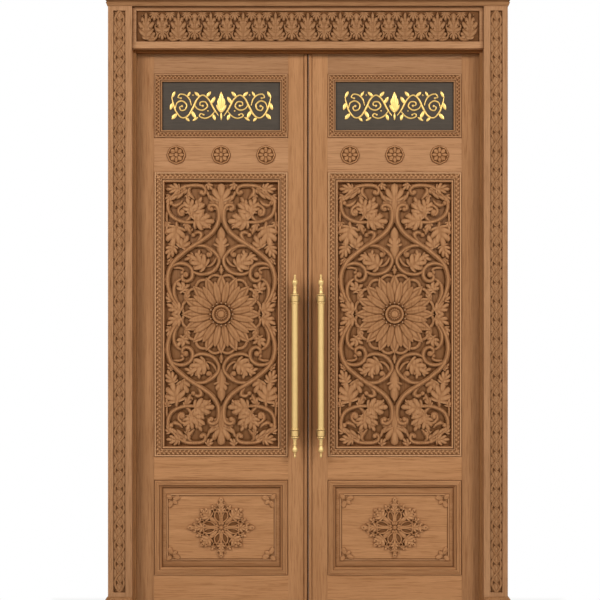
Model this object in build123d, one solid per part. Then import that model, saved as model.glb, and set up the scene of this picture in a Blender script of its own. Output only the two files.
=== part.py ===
from build123d import *
import math
import os

# Carved double door in its frame, in millimetres: X runs across, Y backwards, Z up from the floor.
# While modelling, Y = 0 is the front of the posts; the export sets Y = 0 at the middle of the depth.

# Frame
frame_width = 2000.0
post_width = 120.0
post_depth = 45.0
post_field_inset = 27.0
post_field_width = 60.0
post_field_depth = 12.0
post_field_end = 22.0
strip_thickness = 4.0
strip_cell_pitch = 95.0
plinth_height = 145.0
plinth_projection = 12.0
plinth_chamfer = 11.0
jamb_thickness = 30.0
jamb_lip = 14.0
lip_depth = 38.0
fixing_hole_diameter = 11.0
fixing_hole_low = 300.0
fixing_hole_spacing = 2290.0
lintel_height = 210.0
lintel_setback = 28.0
frieze_band_height = 34.0
frieze_band_reach = 22.0
frieze_trim_width = 20.0
frieze_trim_reach = 16.0
frieze_slab = 6.0
frieze_relief = 13.0
cornice_height = 70.0
cornice_reach = 36.0

# Leaf, with its rails and openings from the floor up
leaf_thickness = 55.0
stile_width = 97.0
bottom_rail = 226.0
lower_opening = 484.0
lock_rail = 117.0
scroll_opening = 1445.0
rosette_rail = 171.0
plaque_opening = 326.0
top_rail = 110.0
groove_depth = 12.0
groove_width = 12.0
groove_setback = 26.0
panel_back_recess = 13.0
bead_width = 17.0
quirk_width = 3.0
quirk_depth = 4.0

# Panels, mouldings and carving
moulding_proud = 8.0
plaque_moulding_width = 40.0
scroll_moulding_width = 52.0
lower_moulding_width = 36.0
plaque_sink = 12.0
scroll_sink = 22.0
margin_sink = 18.0
bevel_rise = 6.0
field_step = 3.0
field_side_margin = 28.0
field_end_margin = 38.0
stem_half_width = 12.0
stem_height = 20.0
leaf_height = 17.0
flower_radius = 200.0
flower_disc_radius = 47.0
flower_disc_height = 22.0
petal_height = 19.0
sepal_height = 12.0
ornament_side_margin = 39.0
ornament_end_margin = 44.5
ornament_half_width = 6.0
ornament_relief = 3.0
medallion_half_width = 174.0
medallion_half_height = 156.0
medallion_relief = 9.0
spray_length = 62.0
rosette_radius = 45.0
rosette_base = 4.0
rosette_relief = 7.0
rosette_spacing = 227.0

# Pull handles
pull_offset = 65.5
pull_standoff = 65.0
pull_bar_diameter = 32.0
pull_bar_low = 985.0
pull_bar_length = 627.0
collar_diameter = 34.0
collar_flange_diameter = 38.0
collar_flange_height = 5.0
collar_height = 45.0
collar_neck_size = 20.0
rose_diameter = 57.0
rose_thickness = 6.0
finial_height = 102.0
finial_ball_diameter = 29.0
inner_bar_diameter = 26.0
inner_standoff = 55.0
inner_bar_overhang = 29.0
stud_size = 8.0
stud_grip = 18.0

# Lift-off hinges on the back
hinge_count = 3
hinge_end_margin = 260.0
hinge_half_height = 62.0
knuckle_diameter = 16.0
pin_diameter = 10.0
pin_length = 46.0
hinge_plate_width = 34.0

# Flat sides of small turned pieces and of bosses, and counts of what repeats
turned_sides = 12
boss_sides = 8
petal_count = 16
rosette_petal_count = 8
spray_angles = (5, 45, 85)

# Clearances, and the overrun of cuts
edge_gap = 3.0
meeting_gap = 6.0
floor_gap = 8.0
stop_gap = 2.0
panel_float = 1.0
hinge_gap = 1.0
pin_clearance = 0.05
thrust_gap = 0.2
overrun = 1.0

# Outlines as shares of the sizes above
# Cornice: height, reach
cornice_shares = ((0.0, 0.08), (0.26, 0.28), (0.26, 0.14), (0.36, 0.14), (0.36, 0.26), (0.55, 0.42),
                  (0.72, 0.86), (0.72, 1.0), (1.0, 1.0))
# Mouldings: across from the outer edge, height over the panel
carved_moulding_shares = ((0.0, 0.0), (0.0, 1.0), (0.2, 1.0), (0.25, 0.86), (0.7, 0.86), (0.75, 0.96),
                          (0.86, 0.96), (1.0, 0.7), (1.0, 0.0))
plain_moulding_shares = ((0.0, 0.0), (0.0, 1.0), (0.4, 1.0), (0.8, 0.5), (1.0, 0.42), (1.0, 0.0))
# Swell of a carved ridge at its steps
stem_swell_shares = (0.7, 0.95, 1.0, 1.0, 1.0, 1.0, 0.95, 0.9, 0.85, 0.75)
curl_swell_shares = (0.75, 1.0, 1.0, 0.9, 0.85, 0.95)
leaf_swell_shares = (0.85, 0.5, 0.9)
point_swell_shares = (1.0,)
# Scroll, upper right quarter: across and up from the middle of the panel
main_stem_shares = ((0.19, 0.80), (0.14, 0.834), (0.05, 0.796), (0.054, 0.711), (0.149, 0.624), (0.40, 0.544),
                    (0.689, 0.469), (0.893, 0.37), (0.929, 0.247), (0.837, 0.118), (0.74, 0.04))
loop_stem_shares = ((0.514, 0.505), (0.254, 0.51), (0.06, 0.455), (0.05, 0.40), (0.156, 0.34), (0.373, 0.31),
                    (0.50, 0.325))
side_curl_shares = ((0.9, 0.33), (0.746, 0.384), (0.556, 0.349), (0.535, 0.285), (0.62, 0.25), (0.69, 0.275),
                    (0.64, 0.30))
side_stem_shares = ((0.9, 0.885), (0.925, 0.79), (0.788, 0.718), (0.57, 0.698), (0.42, 0.70))
inner_curl_shares = ((0.626, 0.709), (0.54, 0.772), (0.62, 0.821), (0.745, 0.79), (0.69, 0.757), (0.65, 0.777))
top_curl_shares = ((0.33, 0.905), (0.285, 0.935), (0.35, 0.965), (0.50, 0.97), (0.70, 0.93), (0.86, 0.885))
# Leaves: foot across and up, tip across and up, half width over length
scroll_leaf_shares = ((0.75, 0.905, 0.95, 0.972, 0.36), (0.55, 0.745, 0.345, 0.84, 0.36),
                      (0.43, 0.70, 0.165, 0.69, 0.38), (0.79, 0.69, 0.89, 0.585, 0.36),
                      (0.73, 0.503, 0.654, 0.588, 0.36), (0.499, 0.376, 0.373, 0.47, 0.4),
                      (0.6, 0.19, 0.78, 0.236, 0.34))
centre_leaf_shares = ((0.0, 0.84, 0.0, 0.985, 0.3), (0.0, 0.43, 0.0, 0.665, 0.28))
# Gilt ornament, right half: across and up from the middle of the plaque
vine_shares = ((0.10, -0.55), (0.26, 0.1), (0.42, 0.62), (0.6, 0.1), (0.76, -0.55), (0.9, 0.0), (0.97, 0.65))
low_curl_shares = ((0.30, 0.25), (0.45, -0.05), (0.46, -0.6), (0.36, -0.62))
high_curl_shares = ((0.66, -0.25), (0.82, 0.2), (0.78, 0.78), (0.68, 0.72))
centre_ornament_shares = ((0.0, -0.9, 0.0, 0.95, 0.16),)
ornament_leaf_shares = ((0.02, 0.1, 0.17, 0.85, 0.2), (0.06, -0.5, 0.24, -0.85, 0.25),
                        (0.50, 0.5, 0.57, 0.95, 0.22), (0.59, 0.05, 0.6, -0.9, 0.16),
                        (0.9, -0.1, 0.98, -0.85, 0.2))
# Frieze: foot across and up, tip across and up, half width over length, in one bay
palmette_leaf_shares = ((0.0, 0.04, 0.0, 0.97, 0.14), (-0.04, 0.22, -0.42, 0.78, 0.18),
                        (0.04, 0.22, 0.42, 0.78, 0.18))
bud_leaf_shares = ((0.0, 0.40, 0.0, 0.92, 0.26), (-0.04, 0.38, -0.38, 0.06, 0.2), (0.04, 0.38, 0.38, 0.06, 0.2))
# Flower of the scroll: reach and half width of petals and sepals, top of the disc
petal_foot_share = 0.9
petal_reach_share = 0.84
petal_width_share = 0.16
sepal_foot_share = 0.5
sepal_width_share = 0.22
disc_top_share = 0.8
# Medallion and its corner sprays
medallion_root_share = 0.125
medallion_boss_share = 0.167
slant_reach_share = 0.74
arm_width_share = 0.2
slant_width_share = 0.22
medallion_top_share = 0.7
spray_foot_share = 0.2
spray_leaf_share = 0.8
spray_width_share = 0.22
spray_relief_share = 0.7
# Rosettes, and the roses of the handles
rosette_top_share = 0.92
rosette_petal_foot_share = 0.28
rosette_petal_reach_share = 0.88
rosette_petal_width_share = 0.25
rosette_boss_share = 0.25
rosette_boss_top_share = 0.6
rose_top_share = 0.9
# Finial: height, radius over the ball's radius
finial_shares = ((0.0, 0.95), (0.07, 0.6), (0.43, 0.5), (0.50, 0.85), (0.57, 1.0), (0.66, 0.85), (0.73, 0.42),
                 (0.92, 0.42), (1.0, 0.15))

# Sizes that follow
opening_half = frame_width / 2 - post_width
lip_half = opening_half - jamb_lip
leaf_face = post_depth + lip_depth + stop_gap
leaf_back = leaf_face + leaf_thickness
leaf_edge = opening_half - edge_gap
leaf_inner_edge = meeting_gap / 2
panel_left = leaf_inner_edge + stile_width
panel_right = leaf_edge - stile_width
panel_width = panel_right - panel_left
panel_centre = (panel_left + panel_right) / 2
lower_z = floor_gap + bottom_rail
lock_z = lower_z + lower_opening
scroll_z = lock_z + lock_rail
rosette_z = scroll_z + scroll_opening
plaque_z = rosette_z + rosette_rail
top_rail_z = plaque_z + plaque_opening
leaf_top = top_rail_z + top_rail
opening_height = leaf_top + edge_gap
lintel_top = opening_height + lintel_height
groove_y = leaf_face + groove_setback
panel_back = leaf_back - panel_back_recess
pull_y = leaf_face - pull_standoff
stud_heights = (pull_bar_low - collar_height / 2, pull_bar_low + pull_bar_length + collar_height / 2)
inner_y = leaf_back + inner_standoff
hinge_x = opening_half - edge_gap / 2
hinge_y = leaf_back + hinge_gap + knuckle_diameter / 2
hinge_rise = (leaf_top - floor_gap - 2 * hinge_end_margin) / (hinge_count - 1)
hinge_heights = [floor_gap + hinge_end_margin + hinge_rise * index for index in range(hinge_count)]
depth_front = -cornice_reach
depth_back = inner_y + inner_bar_diameter / 2
depth_middle = (depth_front + depth_back) / 2


def block(x_span, y_span, z_span):
    """Box between two values along each axis."""
    low = [min(span) for span in (x_span, y_span, z_span)]
    size = [abs(span[1] - span[0]) for span in (x_span, y_span, z_span)]
    return Pos(*low) * Box(*size, align=(Align.MIN, Align.MIN, Align.MIN))


def rod(centre, radius, length, direction):
    """Cylinder from a centre point along a direction."""
    shaft = Cylinder(radius, length, align=(Align.CENTER, Align.CENTER, Align.MIN))
    return Plane(origin=centre, z_dir=direction) * shaft


def many_sided(centre, radius, length):
    """Upright bar with few flat sides, from a centre point."""
    return Pos(*centre) * extrude(RegularPolygon(radius, turned_sides), length)


def tapered(plane, low_outline, high_outline, height):
    """Flat-sided piece on a plane, from one outline to another with as many corners."""
    low = [plane.from_local_coords((*corner, 0)) for corner in low_outline]
    high = [plane.from_local_coords((*corner, height)) for corner in high_outline]
    outlines = [low, high]
    for side in range(len(low)):
        outlines.append([low[side - 1], low[side], high[side], high[side - 1]])
    return Solid(Shell([Face(Wire.make_polygon(outline)) for outline in outlines]))


def frustum(plane, sides, low_radius, high_radius, height):
    """Tapering piece with like sides all round."""
    aims = [(math.cos(math.tau * side / sides), math.sin(math.tau * side / sides)) for side in range(sides)]
    low_outline = [(low_radius * across, low_radius * up) for across, up in aims]
    high_outline = [(high_radius * across, high_radius * up) for across, up in aims]
    return tapered(plane, low_outline, high_outline, height)


def turned(outline):
    """Small turned piece about the Z axis, from points of radius and height, with few flat sides."""
    bands = []
    for (radius, low), (next_radius, high) in zip(outline, outline[1:]):
        bands.append(frustum(Plane.XY.offset(low), turned_sides, radius, next_radius, high - low))
    return bands[0].fuse(*bands[1:])


def ridge(path, swell, half_width, height):
    """Carved ridge on the plane Y = 0, standing towards -Y and running to a point at both ends."""
    feet = [path @ 0]
    crests, lefts, rights = [], [], []
    for step, share in enumerate(swell, 1):
        place = step / (len(swell) + 1)
        foot = path @ place
        side = (path % place).cross(Vector(0, 1, 0)).normalized() * (half_width * share)
        crests.append(foot - Vector(0, height * math.sqrt(share), 0))
        lefts.append(foot + side)
        rights.append(foot - side)
    feet.append(path @ 1)
    triangles = []
    for edge in (lefts, rights):
        triangles.append((feet[0], edge[0], crests[0]))
        triangles.append((feet[1], edge[-1], crests[-1]))
        for step in range(len(crests) - 1):
            triangles.append((edge[step], edge[step + 1], crests[step]))
            triangles.append((edge[step + 1], crests[step + 1], crests[step]))
    faces = [Face(Wire.make_polygon(corners)) for corners in triangles]
    faces.append(Face(Wire.make_polygon([feet[0], *lefts, feet[1], *reversed(rights)])))
    return Solid(Shell(faces))


def curved_ridge(shares, half_size, mirror_signs, swell, half_width, height):
    """Ridge along a smooth curve through points given as shares of a half size."""
    half_across = mirror_signs[0] * half_size[0]
    half_up = mirror_signs[1] * half_size[1]
    points = [(across * half_across, 0, up * half_up) for across, up in shares]
    return ridge(Spline(*points), swell, half_width, height)


def straight_ridge(foot, tip, swell, width_share, height):
    """Ridge along a straight line, as wide as a share of its length."""
    path = Line((foot[0], 0, foot[1]), (tip[0], 0, tip[1]))
    return ridge(path, swell, path.length * width_share, height)


def leaf_ridges(shares, half_size, mirror_signs, swell, height):
    """Straight leaves from a table of feet, tips and widths."""
    leaves = []
    for foot_across, foot_up, tip_across, tip_up, width in shares:
        foot = (mirror_signs[0] * foot_across * half_size[0], mirror_signs[1] * foot_up * half_size[1])
        tip = (mirror_signs[0] * tip_across * half_size[0], mirror_signs[1] * tip_up * half_size[1])
        leaves.append(straight_ridge(foot, tip, swell, width, height))
    return leaves


def ray_ridges(count, first_angle, inner, outer, swell, width_share, height):
    """Like ridges set round a middle, pointing outwards; the first angle is in radians."""
    rays = []
    for index in range(count):
        angle = first_angle + math.tau * index / count
        aim = (math.cos(angle), math.sin(angle))
        foot = (inner * aim[0], inner * aim[1])
        tip = (outer * aim[0], outer * aim[1])
        rays.append(straight_ridge(foot, tip, swell, width_share, height))
    return rays


def button(sides, radius, top_share, height):
    """Many-sided boss on the plane Y = 0, standing towards -Y."""
    return frustum(Plane.XZ, sides, radius, radius * top_share, height)


def mitred_frame(width, height, moulding_width, rise, shares):
    """Four mitred lengths round a rectangle on the plane Y = 0, standing towards -Y."""
    lengths = []
    sides = (width, height)
    for turn in range(4):
        length = sides[turn % 2]
        reach = sides[1 - turn % 2]
        outline = [(-rise * up, moulding_width * across) for across, up in shares]
        bar = extrude(Plane.YZ * Polygon(*outline, align=None), length / 2, both=True)
        inner_half = length / 2 - moulding_width
        corners = ((-length / 2, 0), (length / 2, 0), (inner_half, moulding_width),
                   (-inner_half, moulding_width))
        wedge = extrude(Plane.XZ * Polygon(*corners, align=None), rise + overrun, both=True)
        lengths.append(Rot(0, 90 * turn, 0) * Pos(0, 0, -reach / 2) * (bar & wedge))
    return lengths


def make_post():
    """Post with a sunk field on its front."""
    outer = frame_width / 2
    body = block((outer - post_width, outer), (0, post_depth), (plinth_height, lintel_top))
    field_edge = outer - post_field_inset
    field = block((field_edge - post_field_width, field_edge), (-overrun, post_field_depth),
                  (plinth_height + post_field_end, lintel_top - post_field_end))
    return body - field


def make_post_carving():
    """Strip in the post's field with a row of carved lozenges."""
    middle = frame_width / 2 - post_field_inset - post_field_width / 2
    bottom = plinth_height + post_field_end
    length = lintel_top - plinth_height - 2 * post_field_end
    count = round(length / strip_cell_pitch)
    pitch = length / count
    strip = block((-post_field_width / 2, post_field_width / 2), (0, strip_thickness), (0, length))
    lozenges = []
    for index in range(count):
        foot = (0, pitch * index + panel_float)
        tip = (0, pitch * (index + 1) - panel_float)
        half_share = (post_field_width / 2 - panel_float) / (tip[1] - foot[1])
        relief = post_field_depth - strip_thickness
        lozenges.append(straight_ridge(foot, tip, point_swell_shares, half_share, relief))
    return Pos(middle, post_field_depth - strip_thickness, bottom) * strip.fuse(*lozenges)


def make_plinth():
    """Plinth under the post, with a chamfered top."""
    outer = frame_width / 2 + plinth_projection
    body = block((opening_half, outer), (-plinth_projection, post_depth), (0, plinth_height))
    top_edges = body.faces().sort_by(Axis.Z)[-1].edges()
    shown = [top_edges.sort_by(Axis.X)[-1], top_edges.sort_by(Axis.Y)[0]]
    return chamfer(shown, plinth_chamfer)


def make_jamb():
    """Rebated jamb with its fixing holes and the beds of the hinge plates."""
    outer = opening_half + jamb_thickness
    lip_back = post_depth + lip_depth
    back = block((opening_half, outer), (lip_back, leaf_back), (0, opening_height))
    lip = block((lip_half, outer), (post_depth, lip_back), (0, opening_height - jamb_lip))
    jamb = back + lip
    for height in (fixing_hole_low, fixing_hole_low + fixing_hole_spacing):
        start = (lip_half - overrun, post_depth + lip_depth / 2, height)
        jamb -= rod(start, fixing_hole_diameter / 2, outer - lip_half + 2 * overrun, (1, 0, 0))
    for height in hinge_heights:
        jamb -= hinge_plate(opening_half, opening_half + edge_gap, height)
    return jamb


def make_head_jamb():
    """Rebated head across both jambs."""
    outer = opening_half + jamb_thickness
    top = opening_height + jamb_thickness
    back = block((-outer, outer), (post_depth, leaf_back), (opening_height, top))
    lip = block((-outer, outer), (post_depth, post_depth + lip_depth), (opening_height - jamb_lip, top))
    return back + lip


def make_lintel():
    """Plain board between the posts, behind the frieze."""
    return block((-opening_half, opening_half), (lintel_setback, post_depth), (opening_height, lintel_top))


def make_frieze_carving():
    """Frieze slab with palmettes and buds in turn."""
    half_width = opening_half - frieze_trim_width
    height = lintel_height - frieze_band_height - frieze_trim_width
    count = round(2 * half_width / height)
    half_bay = half_width / count
    slab = block((-half_width, half_width), (0, frieze_slab), (0, height))
    leaves = []
    for index in range(count):
        for side, shares in enumerate((palmette_leaf_shares, bud_leaf_shares)):
            centre = -half_width + half_bay * (2 * index + side) + half_bay / 2
            grown = leaf_ridges(shares, (half_bay, height), (1, 1), point_swell_shares, frieze_relief)
            leaves += [Pos(centre, 0, 0) * leaf for leaf in grown]
    place = Pos(0, lintel_setback - frieze_slab, opening_height + frieze_band_height)
    return place * slab.fuse(*leaves)


def make_frieze_moulding():
    """Shelf under the frieze, and plain trim at its top and sides."""
    front = lintel_setback - frieze_trim_reach
    low = opening_height + frieze_band_height
    inner = opening_half - frieze_trim_width
    high = lintel_top - frieze_trim_width
    across = (-opening_half, opening_half)
    shelf = block(across, (lintel_setback - frieze_band_reach, lintel_setback), (opening_height, low))
    top = block(across, (front, lintel_setback), (high, lintel_top))
    right = block((inner, opening_half), (front, lintel_setback), (low, high))
    return [shelf, top, right, right.mirror(Plane.YZ)]


def make_cornice():
    """Crown that grows outwards in steps, with its back flat."""
    layers = []
    for (low, low_reach), (high, high_reach) in zip(cornice_shares, cornice_shares[1:]):
        if low == high:
            continue
        outlines = []
        for reach in (low_reach, high_reach):
            side = frame_width / 2 + cornice_reach * reach
            front = -cornice_reach * reach
            outlines.append(((-side, front), (side, front), (side, post_depth), (-side, post_depth)))
        plane = Plane.XY.offset(lintel_top + cornice_height * low)
        layers.append(tapered(plane, *outlines, cornice_height * (high - low)))
    return layers[0].fuse(*layers[1:])


def make_hinge_stile():
    """Outer stile with the panel groove and the beds of the hinge plates."""
    stile = block((panel_right, leaf_edge), (leaf_face, leaf_back), (floor_gap, leaf_top))
    groove = block((panel_right - overrun, panel_right + groove_depth), (groove_y, groove_y + groove_width),
                   (floor_gap - overrun, leaf_top + overrun))
    stile -= groove
    for height in hinge_heights:
        stile -= hinge_plate(leaf_edge - edge_gap, leaf_edge, height)
    return stile


def make_meeting_stile():
    """Inner stile with the panel groove, a bead on its meeting edge and the holes of the handle studs."""
    stile = block((leaf_inner_edge, panel_left), (leaf_face, leaf_back), (floor_gap, leaf_top))
    groove = block((panel_left - groove_depth, panel_left + overrun), (groove_y, groove_y + groove_width),
                   (floor_gap - overrun, leaf_top + overrun))
    quirk = block((leaf_inner_edge + bead_width, leaf_inner_edge + bead_width + quirk_width),
                  (leaf_face - overrun, leaf_face + quirk_depth), (floor_gap - overrun, leaf_top + overrun))
    bead_length = opening_height - jamb_lip - edge_gap - floor_gap
    bead = rod((leaf_inner_edge + bead_width / 2, leaf_face, floor_gap), bead_width / 2, bead_length, (0, 0, 1))
    stile = stile - groove - quirk + bead
    for height in stud_heights:
        stile -= stud(height, leaf_face - overrun, leaf_back + overrun)
    return stile


def make_rail(low, high, grooved_edges):
    """Rail with a tongue at each end and panel grooves along the named edges."""
    rail = block((panel_left, panel_right), (leaf_face, leaf_back), (low, high))
    rail += block((panel_left - groove_depth, panel_right + groove_depth), (groove_y, groove_y + groove_width),
                  (low, high))
    spans = {"low": (low - overrun, low + groove_depth), "high": (high - groove_depth, high + overrun)}
    for edge in grooved_edges:
        rail -= block((panel_left - groove_depth - overrun, panel_right + groove_depth + overrun),
                      (groove_y, groove_y + groove_width), spans[edge])
    return rail


def make_board(low, high, front):
    """Panel board with a tongue all round."""
    reach = groove_depth - panel_float
    body = block((panel_left + panel_float, panel_right - panel_float), (front, panel_back),
                 (low + panel_float, high - panel_float))
    tongue = block((panel_left - reach, panel_right + reach), (groove_y, groove_y + groove_width),
                   (low - reach, high + reach))
    return body + tongue


def make_scroll_carving():
    """Scrolls, leaves and flower of the tall panel, about its middle on the plane Y = 0."""
    half_size = (panel_width / 2 - scroll_moulding_width, scroll_opening / 2 - scroll_moulding_width)
    curls = (loop_stem_shares, side_curl_shares, side_stem_shares, inner_curl_shares, top_curl_shares)
    pieces = []
    for signs in ((1, 1), (-1, 1), (-1, -1), (1, -1)):
        pieces.append(curved_ridge(main_stem_shares, half_size, signs, stem_swell_shares, stem_half_width,
                                   stem_height))
        for shares in curls:
            pieces.append(curved_ridge(shares, half_size, signs, curl_swell_shares, stem_half_width,
                                       stem_height))
        pieces += leaf_ridges(scroll_leaf_shares, half_size, signs, leaf_swell_shares, leaf_height)
    for up in (1, -1):
        pieces += leaf_ridges(centre_leaf_shares, half_size, (1, up), leaf_swell_shares, leaf_height)
    half_step = math.pi / petal_count
    pieces += ray_ridges(petal_count, half_step, flower_disc_radius * petal_foot_share,
                         flower_radius * petal_reach_share, point_swell_shares, petal_width_share, petal_height)
    pieces += ray_ridges(petal_count, 0, flower_radius * sepal_foot_share, flower_radius, point_swell_shares,
                         sepal_width_share, sepal_height)
    pieces.append(button(turned_sides, flower_disc_radius, disc_top_share, flower_disc_height))
    return pieces


def make_scroll_panel():
    """Tall panel, carved from one board."""
    ground = leaf_face + scroll_sink
    board = make_board(scroll_z, rosette_z, ground)
    place = Pos(panel_centre, ground, (scroll_z + rosette_z) / 2)
    return board.fuse(*[place * piece for piece in make_scroll_carving()])


def make_plaque_ornament():
    """Gilt scrolls and leaves on the plaque."""
    half_size = (panel_width / 2 - plaque_moulding_width - ornament_side_margin,
                 plaque_opening / 2 - plaque_moulding_width - ornament_end_margin)
    pieces = []
    for signs in ((1, 1), (-1, 1)):
        for shares in (vine_shares, low_curl_shares, high_curl_shares):
            pieces.append(curved_ridge(shares, half_size, signs, curl_swell_shares, ornament_half_width,
                                       ornament_relief))
        pieces += leaf_ridges(ornament_leaf_shares, half_size, signs, point_swell_shares, ornament_relief)
    pieces += leaf_ridges(centre_ornament_shares, half_size, (1, 1), leaf_swell_shares, ornament_relief)
    fused = pieces[0].fuse(*pieces[1:])
    place = Pos(panel_centre, leaf_face + plaque_sink, plaque_z + plaque_opening / 2)
    return [place * solid for solid in fused.solids()]


def make_lower_panel():
    """Lower panel with bevelled margins and a raised field."""
    margin = leaf_face + margin_sink
    low_half = (panel_width / 2 - lower_moulding_width, lower_opening / 2 - lower_moulding_width)
    field_half = (low_half[0] - field_side_margin, low_half[1] - field_end_margin)
    place = Pos(panel_centre, margin, lower_z + lower_opening / 2)
    foot, crown = ([(-half[0], -half[1]), (half[0], -half[1]), (half[0], half[1]), (-half[0], half[1])]
                   for half in (low_half, field_half))
    bevel = tapered(Plane.XZ, foot, crown, bevel_rise)
    field = tapered(Plane.XZ.offset(bevel_rise), crown, crown, field_step)
    return make_board(lower_z, lock_z, margin).fuse(place * bevel, place * field)


def make_lower_carving():
    """Eight-armed medallion and a three-leaf spray in each corner of the field."""
    root = medallion_half_width * medallion_root_share
    slant_reach = medallion_half_width * slant_reach_share
    boss = button(boss_sides, medallion_half_width * medallion_boss_share, medallion_top_share,
                  medallion_relief + field_step)
    arms = ray_ridges(2, 0, root, medallion_half_width, leaf_swell_shares, arm_width_share, medallion_relief)
    arms += ray_ridges(2, math.pi / 2, root, medallion_half_height, leaf_swell_shares, arm_width_share,
                       medallion_relief)
    arms += ray_ridges(4, math.pi / 4, root, slant_reach, leaf_swell_shares, slant_width_share,
                       medallion_relief)
    medallion = boss.fuse(*arms)
    field_half = (panel_width / 2 - lower_moulding_width - field_side_margin,
                  lower_opening / 2 - lower_moulding_width - field_end_margin)
    corners = []
    for across, up in ((1, 1), (-1, 1), (-1, -1), (1, -1)):
        inset = panel_float + spray_length * spray_foot_share
        foot = (across * (field_half[0] - inset), up * (field_half[1] - inset))
        length = spray_length * spray_leaf_share
        leaves = []
        for angle in spray_angles:
            reach = (length * math.cos(math.radians(angle)), length * math.sin(math.radians(angle)))
            tip = (foot[0] - across * reach[0], foot[1] - up * reach[1])
            leaves.append(straight_ridge(foot, tip, point_swell_shares, spray_width_share,
                                         medallion_relief * spray_relief_share))
        corners.append(leaves[0].fuse(*leaves[1:]))
    place = Pos(panel_centre, leaf_face + margin_sink - bevel_rise - field_step, lower_z + lower_opening / 2)
    return [place * solid for shape in (medallion, *corners) for solid in shape.solids()]


def make_rosettes():
    """Three rosettes along the rosette rail."""
    base = button(turned_sides, rosette_radius, rosette_top_share, rosette_base)
    petals = ray_ridges(rosette_petal_count, 0, rosette_radius * rosette_petal_foot_share,
                        rosette_radius * rosette_petal_reach_share, point_swell_shares,
                        rosette_petal_width_share, rosette_relief)
    boss = button(boss_sides, rosette_radius * rosette_boss_share, rosette_boss_top_share, rosette_relief)
    rosette = base.fuse(*[Pos(0, -rosette_base, 0) * piece for piece in (*petals, boss)])
    height = rosette_z + rosette_rail / 2
    return [Pos(panel_centre + rosette_spacing * step, leaf_face, height) * rosette for step in (-1, 0, 1)]


def make_pull_bar():
    """Turned bar of the front handle."""
    return rod((pull_offset, pull_y, pull_bar_low), pull_bar_diameter / 2, pull_bar_length, (0, 0, 1))


def pull_neck(height, front, back):
    """Square neck between a handle and the stile."""
    half = collar_neck_size / 2
    return block((pull_offset - half, pull_offset + half), (front, back), (height - half, height + half))


def make_pull_collars():
    """Collars at both ends of the bar, each on a neck and a rose."""
    flange = collar_flange_diameter / 2
    body = collar_diameter / 2
    outline = ((flange, 0), (body, collar_flange_height), (body, collar_height - collar_flange_height),
               (flange, collar_height))
    collars = []
    for height in stud_heights:
        barrel = Pos(pull_offset, pull_y, height - collar_height / 2) * turned(outline)
        neck = pull_neck(height, pull_y, leaf_face)
        disc = button(turned_sides, rose_diameter / 2, rose_top_share, rose_thickness)
        rose = Pos(pull_offset, leaf_face, height) * disc
        collars.append(barrel + neck + rose - stud(height, leaf_face - stud_grip, leaf_face + overrun))
    return collars


def make_pull_finials():
    """Turned finials above and below the collars."""
    ball = finial_ball_diameter / 2
    finial = turned([(ball * radius, finial_height * height) for height, radius in finial_shares])
    top = pull_bar_low + pull_bar_length + collar_height
    bottom = pull_bar_low - collar_height
    upper = Pos(pull_offset, pull_y, top) * finial
    lower = Pos(pull_offset, pull_y, bottom) * Rot(180, 0, 0) * finial
    return [upper, lower]


def make_inner_pull():
    """Plain bar handle on the back of the leaf."""
    low = stud_heights[0] - inner_bar_overhang
    length = stud_heights[1] + inner_bar_overhang - low
    pull = many_sided((pull_offset, inner_y, low), inner_bar_diameter / 2, length)
    for height in stud_heights:
        pull += pull_neck(height, leaf_back, inner_y)
        pull -= stud(height, leaf_back - overrun, leaf_back + stud_grip)
    return pull


def stud(height, front, back):
    """Square bar through the stile, between two depths."""
    half = stud_size / 2
    return block((pull_offset - half, pull_offset + half), (front, back), (height - half, height + half))


def make_pull_studs():
    """Bars that tie the front handle to the back one."""
    return [stud(height, leaf_face - stud_grip, leaf_back + stud_grip) for height in stud_heights]


def hinge_plate(low_x, high_x, height):
    """Flat plate of one hinge half, let into the edge of a leaf or a jamb."""
    return block((low_x, high_x), (leaf_back - hinge_plate_width, leaf_back),
                 (height - hinge_half_height, height + hinge_half_height))


def make_jamb_hinges():
    """Fixed hinge halves: plate, lower knuckle and pin."""
    halves = []
    for height in hinge_heights:
        low = height - hinge_half_height
        plate = hinge_plate(opening_half, opening_half + edge_gap, height)
        tab = block((opening_half, opening_half + edge_gap), (leaf_back, hinge_y), (low, height))
        knuckle = many_sided((hinge_x, hinge_y, low), knuckle_diameter / 2, hinge_half_height)
        pin = rod((hinge_x, hinge_y, height), pin_diameter / 2 - pin_clearance, pin_length, (0, 0, 1))
        halves.append(plate + tab + knuckle + pin)
    return halves


def make_leaf_hinges():
    """Moving hinge halves: plate and upper knuckle, bored for the pin."""
    halves = []
    for height in hinge_heights:
        low = height + thrust_gap
        plate = hinge_plate(leaf_edge - edge_gap, leaf_edge, height)
        tab = block((leaf_edge - edge_gap, leaf_edge), (leaf_back, hinge_y), (low, height + hinge_half_height))
        knuckle = many_sided((hinge_x, hinge_y, low), knuckle_diameter / 2, hinge_half_height - thrust_gap)
        bore = rod((hinge_x, hinge_y, height - overrun), pin_diameter / 2, pin_length + 2 * overrun, (0, 0, 1))
        halves.append(plate + tab + knuckle - bore)
    return halves


def set_moulding(low, high, moulding_width, sink, shares):
    """Mitred moulding round a panel opening."""
    place = Pos(panel_centre, leaf_face + sink, (low + high) / 2)
    lengths = mitred_frame(panel_width, high - low, moulding_width, sink + moulding_proud, shares)
    return [place * length for length in lengths]


def as_list(shape):
    """One solid or a list of solids, as a list."""
    return shape if isinstance(shape, list) else [shape]


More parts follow.
